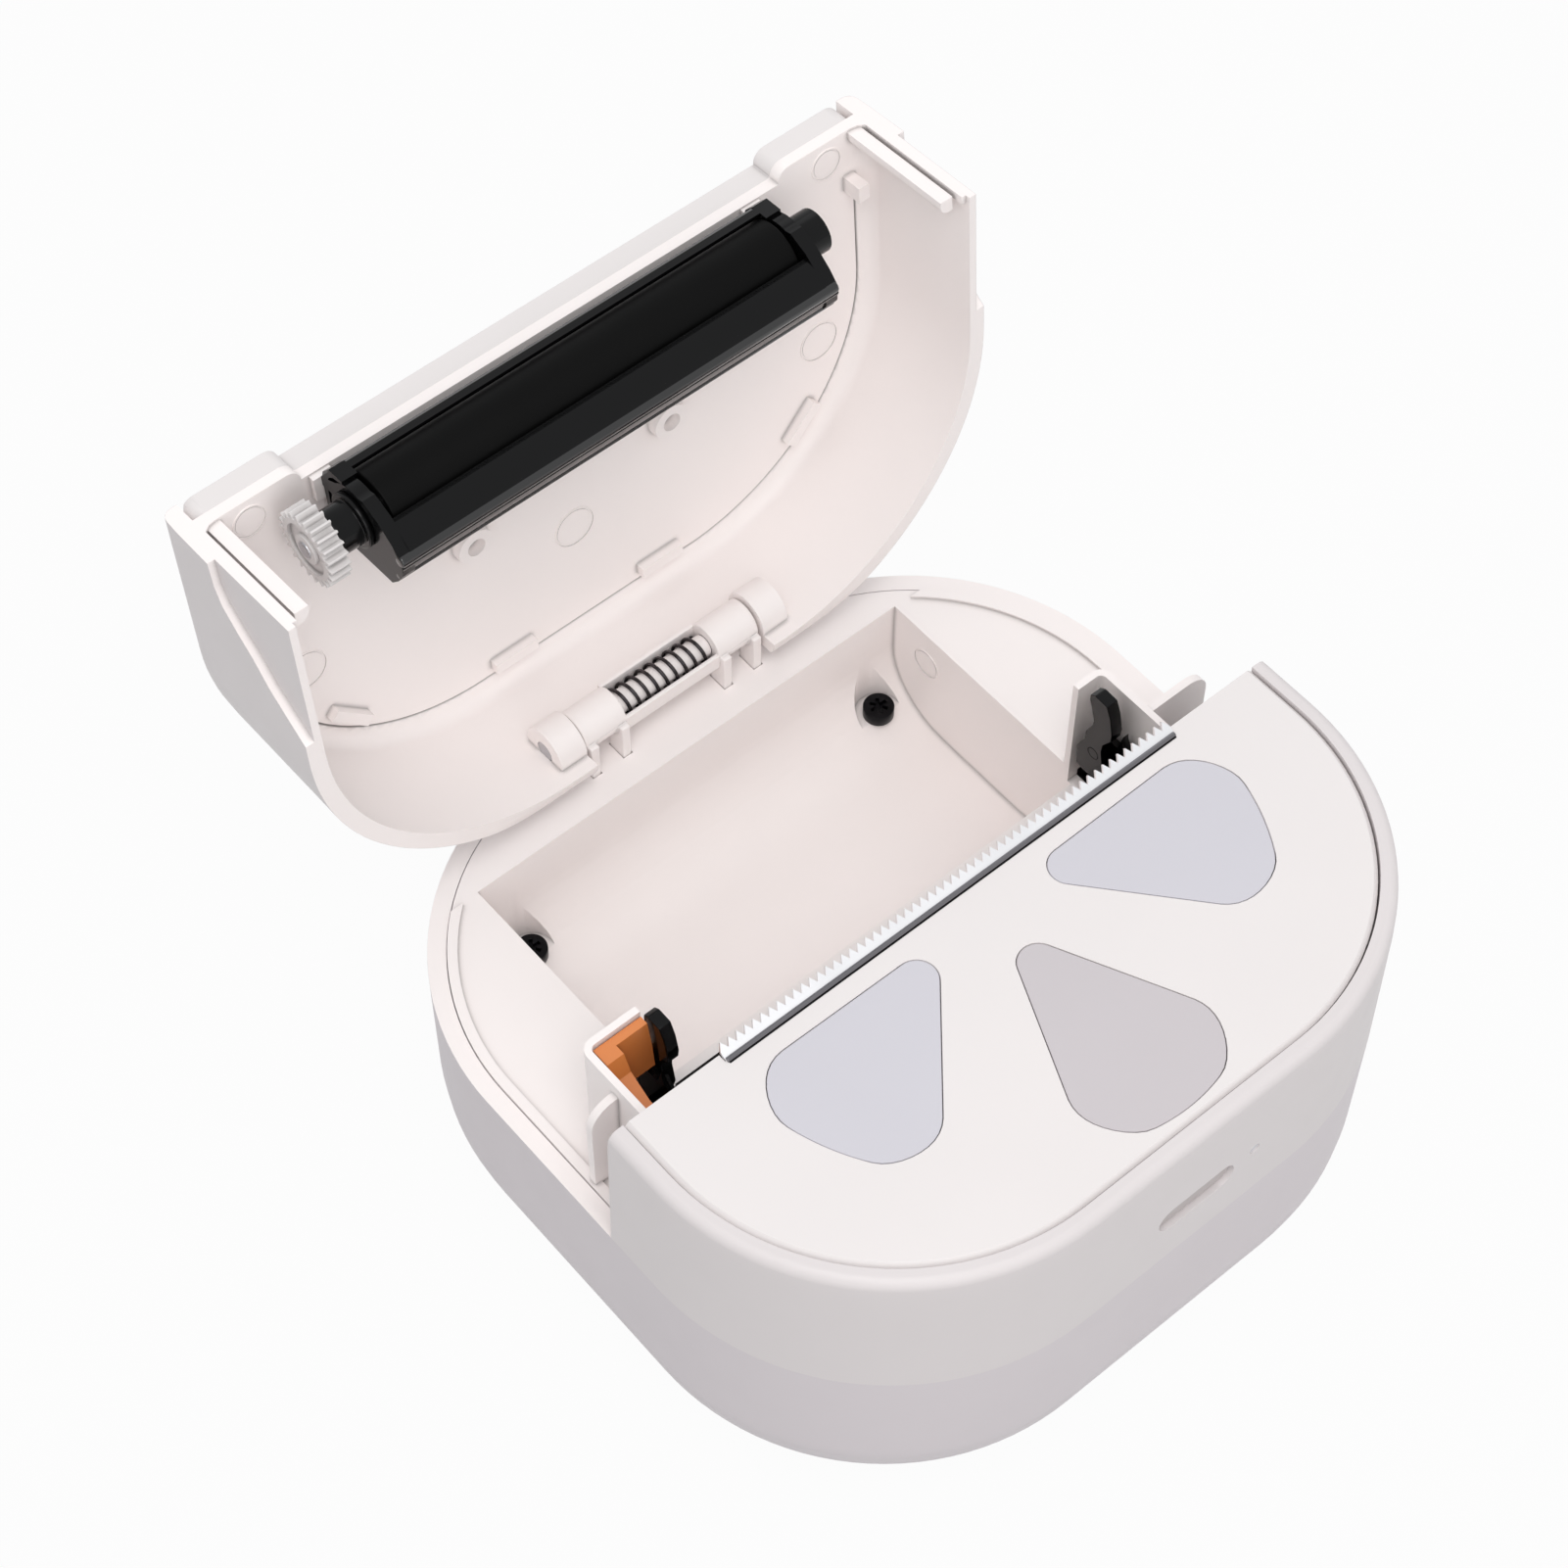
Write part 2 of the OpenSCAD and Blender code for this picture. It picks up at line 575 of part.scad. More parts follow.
module top_plate() {
    color([0.96, 0.94, 0.93]) difference() {
        intersection() {
            plan_solid(body_w, body_d, corner_r, [[panel_inset + panel_gap, panel_seat_z],
                [panel_inset + panel_gap, top_z - 0.5], [panel_inset + panel_gap + 0.5, top_z]]);
            ahead_of(split_front);
        }
        for (p = [petal_left_p, petal_side, petal_front_p]) petal(p, petal_gap);
        block([-blade_len / 2 - 0.1, blade_seat_y, panel_seat_z - 1],
            [blade_len / 2 + 0.1, split_front + 1, top_z + 1]);
        for (p = plate_screw_pos) translate([p[0], p[1], panel_seat_z - 1])
            cylinder(h = 2.2, d = plate_screw_d);
    }
}

module petal_left() color([0.84, 0.83, 0.87]) petal(petal_left_p);
module petal_right() color([0.84, 0.83, 0.87]) petal(petal_side);
module petal_front() color([0.81, 0.78, 0.79]) petal(petal_front_p);

// ---------- tear blade ----------

blade_tilt = 32;
blade_reach = 1.75;

module tear_blade() {
    pitch = blade_len / blade_teeth;
    color([0.80, 0.81, 0.83]) {
        // serrated lip, tilted up and back
        translate([-blade_len / 2, blade_seat_y + blade_t * sin(blade_tilt), top_z - root])
            rotate([blade_tilt, 0, 0]) linear_extrude(blade_t) polygon(concat([[0, 0]],
                [for (i = [0:blade_teeth - 1])
                    each [[i * pitch, blade_reach - tooth_h], [(i + 0.5) * pitch, blade_reach]]],
                [[blade_len, blade_reach - tooth_h], [blade_len, 0]]));
        // foot that stands in the plate's rear slot
        block([-blade_len / 2, blade_seat_y, panel_seat_z - 0.8],
            [blade_len / 2, blade_seat_y + blade_t, top_z]);
    }
}

// ---------- hinge ----------

lid_cap_in = spring_gap / 2 + barrel_len + 0.3;      // inner face of a lid cap, from the hinge middle
lid_cap_out = lid_cap_in + cap_len;
bore_d = pin_d + 2 * run_fit;              // running bore in the lid's caps

module hinge_bracket() {
    color([0.94, 0.92, 0.91]) {
        difference() {
            union() {
                translate([hinge_x, 0, 0]) for (s = [-1, 1])
                    side_rod(s, spring_gap / 2, spring_gap / 2 + barrel_len, barrel_d, hinge_y, hinge_z);
                for (x = leg_xs)
                    block([x - leg_t / 2, leg_y - leg_w, shelf_z], [x + leg_t / 2, leg_y, hinge_z]);
                // foot plate that lies on the base shell's shelf, under the tray
                block([hinge_x - shelf_half, bay_rear_y + tray_wall + 0.5, shelf_z],
                    [hinge_x + shelf_half, body_d / 2 - base_wall - 0.1, shelf_z + bracket_t]);
            }
            rod_x(-big / 2, big / 2, pin_d, hinge_y, hinge_z);
        }
    }
}

module hinge_pin() color([0.72, 0.72, 0.74])
    rod_x(hinge_x - lid_cap_out, hinge_x + lid_cap_out, pin_d, hinge_y, hinge_z);

spring_r = barrel_d / 2 - 0.25 - wire_d / 2;
spring_len = spring_gap - 1.4;

// Coil along X as one swept tube.
module coil_x(r, wire, len, turns, per_turn = 16, sides = 8) {
    n = turns * per_turn;
    ring = function(i) let (a = 360 * i / per_turn, x = len * i / n)
        [for (k = [0:sides - 1]) let (b = 360 * k / sides)
            [x + wire / 2 * sin(b), (r + wire / 2 * cos(b)) * cos(a), (r + wire / 2 * cos(b)) * sin(a)]];
    pts = [for (i = [0:n]) each ring(i)];
    faces = concat([[for (k = [0:sides - 1]) k]],
        [for (i = [0:n - 1]) for (k = [0:sides - 1]) let (k2 = (k + 1) % sides)
            [i * sides + k, (i + 1) * sides + k, (i + 1) * sides + k2, i * sides + k2]],
        [[for (k = [sides - 1:-1:0]) n * sides + k]]);
    polyhedron(pts, faces, convexity = 6);
}

module torsion_spring() color([0.35, 0.35, 0.37])
    translate([hinge_x - spring_len / 2, hinge_y, hinge_z])
        coil_x(spring_r, wire_d, spring_len, spring_coils, 12, 6);

// ---------- print mechanism ----------

frame_x = bay_w / 2 + latch_t + 0.2;    // inner face of the frame's side plates
side_t = 0.8;
frame_floor_z = 18;
idler_drop = gear_tip(platen_teeth) + gear_tip(idler_teeth) + 0.2;
swing = atan2(platen_rise - hinge_rise, hinge_y - platen_y);
idler_y = platen_y - idler_drop * sin(swing);
idler_z = platen_z - idler_drop * cos(swing);
pinion_dist = gear_m * (idler_teeth + pinion_teeth) / 2 + 0.08;
pinion_dir = 250;
pinion_y = idler_y + pinion_dist * cos(pinion_dir);
pinion_z = idler_z + pinion_dist * sin(pinion_dir);
gear_x0 = -bay_w / 2 - 5.2;
head_face_y = platen_y - roller_d / 2 - 0.25;
head_pivot_y = head_face_y - 2.1;
head_pivot_z = seam_z + 4.5;
head_pin_d = 1.6;
head_half = bay_w / 2 - 0.6;
saddle_x = bay_w / 2 + 0.2;             // saddle under the shorter far bushing
head_t = 1.5;                           // heat sink behind the ceramic
ceramic_t = 0.7;
ceramic_half = head_half - 4.1;
ceramic_h = 6.4;
head_back_y = head_face_y - ceramic_t - head_t;
head_h = 4;                             // how far the head reaches above the platen axis
idler_axle_d = 1.5;
frame_wall_t = 1.4;
frame_screw_x = (frame_rest[0] + frame_rest[1]) / 2;
frame_screw_y = frame_front_y - 1.35;
foot_t = 1.6;                           // feet of the frame

slot_half_w = bush_d / 2 + 0.3;         // half width of the slot for the platen bushing
guide_z = seam_z + 1.5;

module mech_frame() {
    color([0.10, 0.10, 0.11]) difference() {
        union() {
            for (s = [-1, 1]) {
                // side plate with the open slot for the platen bushing
                side_along_x(s, frame_x, frame_x + side_t) difference() {
                    polygon([[frame_front_y, frame_floor_z], [latch_y - 0.4, frame_floor_z],
                        [latch_y + 1.4, frame_floor_z + 4], [latch_y + 1.4, seam_z + latch_rise + 1.4],
                        [platen_y + slot_half_w + 0.6, seam_z + latch_rise + 1.4],
                        [platen_y + slot_half_w, platen_z], [platen_y - slot_half_w, platen_z],
                        [platen_y - slot_half_w - 0.7, platen_z + 3], [frame_front_y, platen_z + 3]]);
                    translate([platen_y, platen_z]) circle(r = slot_half_w);
                }
                // pivot pins of the latch lever and of the print head
                side_rod(s, bay_w / 2, frame_x + eps, latch_pin_d, latch_y, seam_z + latch_rise);
                side_rod(s, head_half - 2.4, frame_x + eps, head_pin_d, head_pivot_y, head_pivot_z);
                // foot on the base shell
                side_block(s, frame_rest[0], frame_rest[1], frame_rest[2], frame_rest[3],
                    frame_floor_z, frame_floor_z + foot_t);
            }
            // saddle under the far bushing
            along_x(saddle_x, frame_x + eps) difference() {
                polygon([[platen_y - 4, platen_z - 6], [platen_y + 1.4, platen_z - 6],
                    [platen_y + 1.4, platen_z - 1], [platen_y - 4, platen_z - 1]]);
                translate([platen_y, platen_z]) circle(r = bush_d / 2 + 0.05);
            }
            // front wall behind the head springs
            block([-frame_x - side_t, frame_front_y, frame_floor_z],
                [frame_x + side_t, frame_front_y + frame_wall_t, platen_z + 2]);
            // paper guide below the platen, between the levers
            translate([0, platen_y, guide_z]) {
                along_x(-bay_w / 2 + 0.9, bay_w / 2 - 0.9)
                    polygon([[-4.2, 0], [-1, 0], [5, -1.5], [5, -0.5], [-3, 2], [-4.2, 1.6]]);
                block([-frame_x - eps, -4.2, 0], [frame_x + eps, -1, 1.2]);
            }
            // axle of the idler gear
            rod_x(gear_x0 - 0.3, -frame_x - side_t + eps, idler_axle_d, idler_y, idler_z);
        }
        rod_x(-frame_x - side_t - 1, -frame_x + 1, 4.4, pinion_y, pinion_z);
        for (s = [-1, 1]) translate([s * frame_screw_x, frame_screw_y, frame_floor_z - 1])
            cylinder(h = foot_t + 2, d = pilot_d);
    }
}

module frame_screws() color([0.55, 0.55, 0.57]) for (s = [-1, 1])
    translate([s * frame_screw_x, frame_screw_y, frame_floor_z + foot_t]) screw_down(2.4, 1, pilot_d, 6);

pinion_shaft_d = 1;
motor_face_x = -frame_x;

module stepper_motor() {
    color([0.70, 0.71, 0.73]) difference() {
        union() {
            rod_x(motor_face_x, motor_face_x + motor_len, motor_d, pinion_y, pinion_z);
            rod_x(motor_face_x + motor_len - eps, motor_face_x + motor_len + 1, 5, pinion_y, pinion_z);
        }
        rod_x(motor_face_x - 1, motor_face_x + 2.2, pinion_shaft_d + 2 * run_fit, pinion_y, pinion_z);
    }
}

// Tooth 0 of the idler points at the pinion, and a gap of the pinion points back.
idler_phase = pinion_dir;
pinion_phase = pinion_dir + 180 - 180 / pinion_teeth;

module motor_pinion() color([0.85, 0.85, 0.82]) {
    translate([0, pinion_y, pinion_z]) gear_x(gear_x0, gear_w, pinion_teeth, pinion_shaft_d, pinion_phase);
    rod_x(gear_x0, motor_face_x + 2, pinion_shaft_d, pinion_y, pinion_z);
}

module idler_gear() color([0.93, 0.93, 0.90])
    translate([0, idler_y, idler_z])
        gear_x(gear_x0, gear_w, idler_teeth, idler_axle_d + 2 * run_fit, idler_phase);

// Latch lever seen from the side, around its pivot, from the foot up its back and down its front.
latch_pts = [[1, -4.3], [2.2, -4], [2.4, -1], [1.5, 1.2], [1.4, 2.7], [0.6, 4.6], [0.5, 5.4], [1, 7.2],
    [1.4, 8.4], [1.4, 9.2], [0.7, 9.7], [-1.1, 9.6], [-1.8, 8], [-2.1, 6.6], [-2.3, 5.6], [-2.2, 4.4],
    [-1.2, 2.7], [-1.1, 1.4], [-1.6, -1.4], [-1, -3.9]];

module latch(s) color([0.10, 0.10, 0.11]) difference() {
    along_x(s > 0 ? bay_w / 2 : -bay_w / 2 - latch_t, s > 0 ? bay_w / 2 + latch_t : -bay_w / 2)
        polygon([for (p = latch_pts) [latch_y + p[0], seam_z + latch_rise + p[1]]]);
    rod_x(-big / 2, big / 2, latch_pin_d + 2 * run_fit, latch_y, seam_z + latch_rise);
}
module latch_left() latch(-1);
module latch_right() latch(1);

// Print head: aluminium heat sink that carries the ceramic with the dot line.
module head_sink() {
    color([0.62, 0.63, 0.65]) difference() {
        union() {
            block([-head_half, head_back_y, head_pivot_z],
                [head_half, head_back_y + head_t, platen_z + head_h]);
            rod_x(-head_half, head_half, head_pin_d + 2, head_pivot_y, head_pivot_z);
        }
        for (s = [-1, 1])
            side_rod(s, head_half - 2.6, head_half + 1, head_pin_d + 2 * run_fit, head_pivot_y, head_pivot_z);
    }
}

module head_ceramic() color([0.90, 0.88, 0.80])
    block([-ceramic_half, head_face_y - ceramic_t, platen_z - ceramic_h / 2],
        [ceramic_half, head_face_y, platen_z + ceramic_h / 2]);

head_spring_x = 15;
head_wire_d = 0.4;
head_spring_z = platen_z - 0.6;
head_spring_r = 1.5;
head_spring_room = 0.4;                 // the springs stop this short of the head

module head_springs() color([0.60, 0.60, 0.62]) for (s = [-1, 1])
    translate([s * head_spring_x, frame_front_y + frame_wall_t + head_wire_d / 2 + eps, head_spring_z])
        rotate([0, 0, 90]) coil_x(head_spring_r, head_wire_d,
            head_back_y - frame_front_y - frame_wall_t - head_wire_d - head_spring_room, 6, 10, 6);

gearbox_x0 = -box_x + box_wall + 0.3;
gearbox_x1 = gear_x0 - 0.5;
gearbox_top = seam_z + box_h - 0.6;
gearbox_foot_z = seam_z - 6;
gear_room = gear_tip(platen_teeth) + 0.35;

module gearbox_cover() {
    rear = box_rear_y - box_wall - 0.2;
    color([0.75, 0.40, 0.12]) difference() {
        union() {
            // outer wall beside the gears, stepped down towards the front
            along_x(gearbox_x0, gearbox_x1)
                polygon([[split_front - 2, gearbox_foot_z], [rear - 1, gearbox_foot_z],
                    [rear, gearbox_foot_z + 3], [rear, gearbox_top], [rear - 2.2, gearbox_top],
                    [rear - 3.2, gearbox_top - 2.2], [rear - 6, gearbox_top - 4],
                    [rear - 8.6, gearbox_top - 4.2], [rear - 9.4, gearbox_top - 2.6],
                    [split_front - 2, gearbox_top - 2.6]]);
            // bridge behind the gears, sloped to let the lid's gear swing past
            along_x(gearbox_x1 - eps, -frame_x - 0.1)
                polygon([[rear - 2, platen_z - 1.6], [rear, platen_z - 2.4], [rear, gearbox_top],
                    [rear - 1, gearbox_top], [rear - 1.6, platen_z + 2]]);
            // foot that reaches the frame's side plate
            block([gearbox_x0, -3, gearbox_foot_z - 1.6], [-frame_x - side_t, 1.5, gearbox_foot_z + eps]);
        }
        rod_x(gearbox_x1, -frame_x, 2 * gear_room, platen_y, platen_z);
    }
}

module paper_sensor() color([0.09, 0.09, 0.10])
    block([8, bay_front_y - tray_wall - 1.4, seam_z - 5], [12, bay_front_y - tray_wall, seam_z - 2]);

// ---------- electronics ----------

battery_h = 8.4;
battery_half = bay_w / 2 - 5.3;
battery_y = [front_post_y + shoulder_d / 2 + 0.35, -2.5];
board_z = base_floor_z + battery_h + 1.6;
board_t = 1.2;
usb_w = 8.9;
usb_h = 3.2;
usb_z = base_floor_z + 4.6;
usb_board_t = 1;
usb_board_z = usb_z - usb_h / 2 - usb_board_t;
usb_board_y = [body_d / 2 - 13.5, body_d / 2 - 5.1];
usb_board_half = 9;
usb_wall = 0.3;
usb_end_y = body_d / 2 - base_wall - 0.2;

module battery() color([0.30, 0.45, 0.62])
    block([-battery_half, battery_y[0], base_floor_z], [battery_half, battery_y[1], base_floor_z + battery_h]);

module main_board() color([0.10, 0.36, 0.22]) difference() {
    block([-board_half, board_y[0], board_z], [board_half, board_y[1], board_z + board_t]);
    for (p = front_posts) translate([p[0], p[1], board_z - 1])
        cylinder(h = board_t + 2, d = post_d + 2 * board_hole_gap);
}

module usb_board() color([0.10, 0.36, 0.22])
    block([-usb_board_half, usb_board_y[0], usb_board_z],
        [usb_board_half, usb_board_y[1], usb_board_z + usb_board_t]);

module usb_socket() color([0.70, 0.70, 0.72]) difference() {
    pill_y(usb_board_y[1] - 6, usb_end_y, usb_w, usb_h, 0, usb_z);
    pill_y(usb_board_y[1] - 5, usb_end_y + 1, usb_w - 2 * usb_wall, usb_h - 2 * usb_wall, 0, usb_z);
}

key_y = -body_d / 2 + cover_wall + 5.2;
switch_h = 1.6;
module key_board() color([0.10, 0.36, 0.22])
    block([-key_half, key_y, button_z - 4.9], [key_half, key_y + 1, button_z + 5.1]);

module tact_switch() color([0.12, 0.12, 0.13]) {
    block([-2.2, key_y - switch_h, button_z - 1.9], [2.2, key_y, button_z + 1.9]);
}

button_face_y = -body_d / 2 + 0.7;
button_flange_y = -body_d / 2 + cover_wall + 0.1;
flange_t = 0.8;

module power_button() color([0.90, 0.87, 0.86]) {
    pill_y(button_face_y, button_flange_y + flange_t, button_w, button_h, 0, button_z);
    block([-button_w / 2 - flange_t, button_flange_y, button_z - button_h / 2 - flange_t],
        [button_w / 2 + flange_t, button_flange_y + flange_t, button_z + button_h / 2 + flange_t]);
    // plunger towards the switch
    block([-1, button_flange_y, button_z - 1], [1, key_y - switch_h - button_travel - 0.15, button_z + 1]);
}

module light_pipe() color([0.92, 0.92, 0.95])
    rod_y(-body_d / 2 + 0.3, key_y, led_d, led_x, seam_z + led_rise);

module plate_screws() color([0.55, 0.55, 0.57]) for (p = plate_screw_pos)
    translate([p[0], p[1], panel_seat_z - ledge_t]) rotate([180, 0, 0])
        screw_down(2.4, 0.8, plate_screw_d, ledge_t + 1);

// ---------- lid (all modules below are drawn closed, then placed open) ----------

lid_base_z = seam_z + 0.15;
lid_prof = concat([[0, lid_base_z], [0.3, top_z - 3]],
    [for (k = [0:4]) let (a = 90 * k / 4) [0.4 + edge_r * (1 - cos(a)), top_z - edge_r * (1 - sin(a))]]);
roof_fillet = 2;
lid_cavity = concat([[cover_wall, seam_z - 1]], [for (k = [0:4]) let (a = 90 * k / 4)
    [cover_wall + roof_fillet * (1 - cos(a)), lid_roof_z - roof_fillet * (1 - sin(a))]]);
rear_edge_r = hinge_rise - 0.15;        // the lid's rear edge rolls past the tray on this radius
grip_depth = 1.05;                      // finger recess in each side of the lid
boss_x = 13;
boss_y = 17.6;
rim_x = body_w / 2 - panel_inset - panel_gap;       // side edge of the lid panel
// places and directions of the frames around the panel's snap hooks
corner_reach = corner_r - 5.5;
snap_x = body_w / 2 - corner_r + corner_reach * cos(46);
snap_y = body_d / 2 - corner_r + corner_reach * sin(46);
snap_frames = [[-10.1, body_d / 2 - 5.5, 0], [10.1, body_d / 2 - 5.5, 0],
    [-snap_x, snap_y, 45], [snap_x, snap_y, -45]];

// Paper exit in the lid's front edge, with its outer corners rounded.
module paper_exit() {
    block([-slot_half, -big, seam_z], [slot_half, lid_front + slot_back, big]);
    for (s = [-1, 1]) translate([s * slot_half, lid_front, 0]) outer_corner(s, slot_round);
}

// Cutter that rounds a corner at the origin, whose part lies behind it and outwards (s = 1) of it.
module outer_corner(s, r) difference() {
    translate([s > 0 ? -1 : -r, -1, 0]) cube([r + 1, r + 1, big]);
    translate([s * r, r, -1]) cylinder(h = big + 2, r = r);
}

// Upright bar with its inner front corner rounded.
module end_bar(s, x0, x1, y0, y1) difference() {
    side_block(s, x0, x1, y0, y1, lid_base_z + 1.6, lid_roof_z + 0.5);
    translate([s * x0, y1, 0]) mirror([0, 1, 0]) outer_corner(s, 1.2);
}

module lid_shell() {
    color([0.93, 0.90, 0.89]) lid_placed() difference() {
        union() {
            difference() {
                intersection() {
                    plan_solid(body_w, body_d, corner_r, lid_prof);
                    behind(lid_front);
                }
                plan_solid(body_w, body_d, corner_r, lid_cavity);
                plan_block(panel_inset, panel_seat_z - panel_sink, top_z + 1);
            }
            // end caps of the hinge
            translate([hinge_x, 0, 0]) for (s = [-1, 1]) {
                side_rod(s, lid_cap_in, lid_cap_out, barrel_d + 1, hinge_y, hinge_z);
                side_block(s, lid_cap_in, lid_cap_out, hinge_y, body_d / 2 - 0.6,
                    hinge_z - 2.4, hinge_z + 2.4);
            }
            for (s = [-1, 1]) {
                // ring bosses
                translate([s * boss_x, boss_y, lid_roof_z - 1.4]) difference() {
                    cylinder(h = 2, d = 4.4);
                    translate([0, 0, -1]) cylinder(h = 2.4, d = 2.2);
                }
                // bars that close the ends of the lid beside the front cover
                end_bar(s, body_w / 2 - 4.4, body_w / 2 - 2.8, lid_front + 0.3, lid_front + 2.1);
                side_block(s, body_w / 2 - 2.4, body_w / 2 - grip_depth - 0.3, lid_front, lid_front + 1,
                    lid_base_z + 0.6, lid_roof_z + 0.5);
                // guide blocks beside the gears
                side_block(s, box_x + 0.6, box_x + 2, 0, 2, lid_roof_z - 2.6, lid_roof_z + 0.5);
            }
            // blocks that carry the platen bracket
            for (x = [bracket_x0 - 0.9, bracket_x1 - plate_t]) block([x, platen_y - 1.6, platen_z + 5.4],
                [x + plate_t + 0.9, platen_y + 1.4, lid_roof_z + 0.5]);
            // rail on the bracket's back
            block([bracket_x0 + 4, platen_y + 3.2, platen_z + back_top], [bracket_x1 - 4, platen_y + 5,
                lid_roof_z + 0.5]);
            for (p = snap_frames) translate([p[0], p[1], lid_roof_z - 1.2]) rotate(p[2])
                translate([-2.8, -0.9, 0]) cube([5.6, 1.4, 2]);
        }
        paper_exit();
        // notch at the back for the fixed barrels
        block([hinge_x - lid_cap_in, hinge_y - barrel_d / 2 - 1, -big],
            [hinge_x + lid_cap_in, big, hinge_z + barrel_d / 2 + 0.4]);
        rod_x(hinge_x - lid_cap_out - eps, hinge_x + lid_cap_out + eps, bore_d, hinge_y, hinge_z);
        // rolled rear edge
        difference() {
            block([-big, hinge_y, 0], [big, body_d, hinge_z]);
            rod_x(-big, big, 2 * rear_edge_r, hinge_y, hinge_z, 96);
        }
        // three-sided finger recesses
        for (s = [-1, 1]) side_along_x(s, body_w / 2 - grip_depth, body_w) translate([lid_front, seam_z])
            polygon([[-2, -1], [-2, 12.3], [3.2, 12], [5.4, 11.2], [7.6, 9.3], [9.6, 7.2], [12.3, 5.1],
                [16.7, 0], [17.5, -1]]);
    }
}

module lid_panel() {
    color([0.96, 0.94, 0.93]) lid_placed() difference() {
        intersection() {
            plan_solid(body_w, body_d, corner_r, [[panel_inset + panel_gap, panel_seat_z - panel_sink],
                [panel_inset + panel_gap, top_z - 0.5], [panel_inset + panel_gap + 0.5, top_z]]);
            behind(lid_front);
        }
        paper_exit();
        for (s = [-1, 1]) translate([s * rim_x, lid_front, 0]) outer_corner(-s, 1.6);
    }
}

guide_bore = roller_d + 0.9;            // room for the roller in the bracket
back_y = roller_d / 2 + 0.6;            // inside of the bracket's back, from the platen axis
back_top = 5.2;
ear_w = plate_t + 0.4;

// End plate of the bracket: a teardrop round the bushing that rises to the lid's roof.
module bracket_end() {
    circle(r = 3.9);
    polygon([[-3.9, -1.9], [-2.7, -4.2], [-0.9, -6.2], [1.2, -7.2], [2.6, -7.1], [4.1, -6.1],
        [back_y + 0.3, -5], [back_y + 0.3, back_top], [3.2, back_top], [2.4, 3], [-0.4, 3.7],
        [-0.4, back_top + 0.2], [-1.6, back_top + 0.2], [-2.9, 2.5]]);
}

module platen_bracket() color([0.10, 0.10, 0.11]) lid_placed() translate([0, platen_y, platen_z]) {
    difference() {
        union() {
            along_x(bracket_x0, bracket_x0 + plate_t) bracket_end();
            along_x(bracket_x1 - plate_t, bracket_x1) bracket_end();
            // guide under the roller, the back behind it and the plate over it
            along_x(bracket_x0 + eps, bracket_x1 - eps)
                polygon([[-2, -4.5], [-1.1, -6], [0.2, -7.1], [1.4, -7.4], [2.3, -7], [4.1, -6.1],
                    [back_y + 0.7, -4.8], [back_y + 0.7, back_top], [-1.6, back_top], [-1.6, back_top - 0.7],
                    [back_y, back_top - 0.7], [back_y, -2.4], [2.6, -4.6], [0, -5.6]]);
        }
        rod_x(-big / 2, big / 2, bush_d);
        rod_x(bracket_x0 + plate_t, bracket_x1 - plate_t, guide_bore);
    }
    // ears in front of the roller's ends and the rail between them
    for (x = [bracket_x0, bracket_x1 - ear_w]) along_x(x, x + ear_w)
        polygon([[-4, 1.4], [-4, 3.6], [-2.8, 4.8], [-1.6, back_top], [-1.6, 4.4], [-2.7, 3.8], [-3.3, 3],
            [-3.6, 1.4]]);
    along_x(bracket_x0 + eps, bracket_x1 - eps)
        polygon([[-4, 2.4], [-4, 3.3], [-3.7, 3.8], [-3.2, 3.5], [-3.5, 2.7], [-3.7, 2.4]]);
}

bush_out = bay_w / 2 + 0.7;             // outer end of the far bushing
flange_d = 6.2;
gear_shaft_d = 2;                       // turned-down end of the shaft under the gear
gear_end_x = gear_x0 + gear_w + 0.1;

module platen_bushings() color([0.12, 0.12, 0.13]) lid_placed() difference() {
    union() {
        rod_x(bracket_x1 - plate_t, bush_out, bush_d, platen_y, platen_z);
        rod_x(gear_end_x + 0.2, bracket_x0 + plate_t, bush_d, platen_y, platen_z);
        rod_x(bracket_x0 - 0.65, bracket_x0, flange_d, platen_y, platen_z);
    }
    rod_x(-big / 2, big / 2, shaft_d + 2 * run_fit, platen_y, platen_z);
}

module platen_shaft() color([0.78, 0.78, 0.80]) lid_placed() {
    rod_x(gear_end_x, bush_out - 0.4, shaft_d, platen_y, platen_z);
    rod_x(gear_x0 - 0.2, gear_end_x + eps, gear_shaft_d, platen_y, platen_z);
}

module platen_rubber() color([0.07, 0.07, 0.07]) lid_placed() difference() {
    rod_x(roller_x0, roller_x1, roller_d, platen_y, platen_z);
    rod_x(-big / 2, big / 2, shaft_d, platen_y, platen_z);
}

module platen_gear() color([0.95, 0.95, 0.95]) lid_placed()
    translate([0, platen_y, platen_z]) gear_x(gear_x0, gear_w, platen_teeth, gear_shaft_d, 90);

// ---------- output ----------

base_shell();
foot_pad();
tray();
tray_screws();
front_cover();
top_plate();
petal_left();
petal_right();
petal_front();
tear_blade();
hinge_bracket();
hinge_pin();
torsion_spring();
mech_frame();
gearbox_cover();
frame_screws();
stepper_motor();
motor_pinion();
idler_gear();
latch_left();
latch_right();
head_sink();
head_ceramic();
head_springs();
paper_sensor();
main_board();
usb_board();
key_board();
tact_switch();
power_button();
light_pipe();
battery();
usb_socket();
base_screws();
plate_screws();
lid_shell();
lid_panel();
platen_bracket();
platen_bushings();
platen_shaft();
platen_rubber();
platen_gear();
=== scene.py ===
"""Pocket receipt printer with its lid open: finishes, moulded details, soft light and camera."""
import json
import math

import bpy
from mathutils import Matrix, Vector


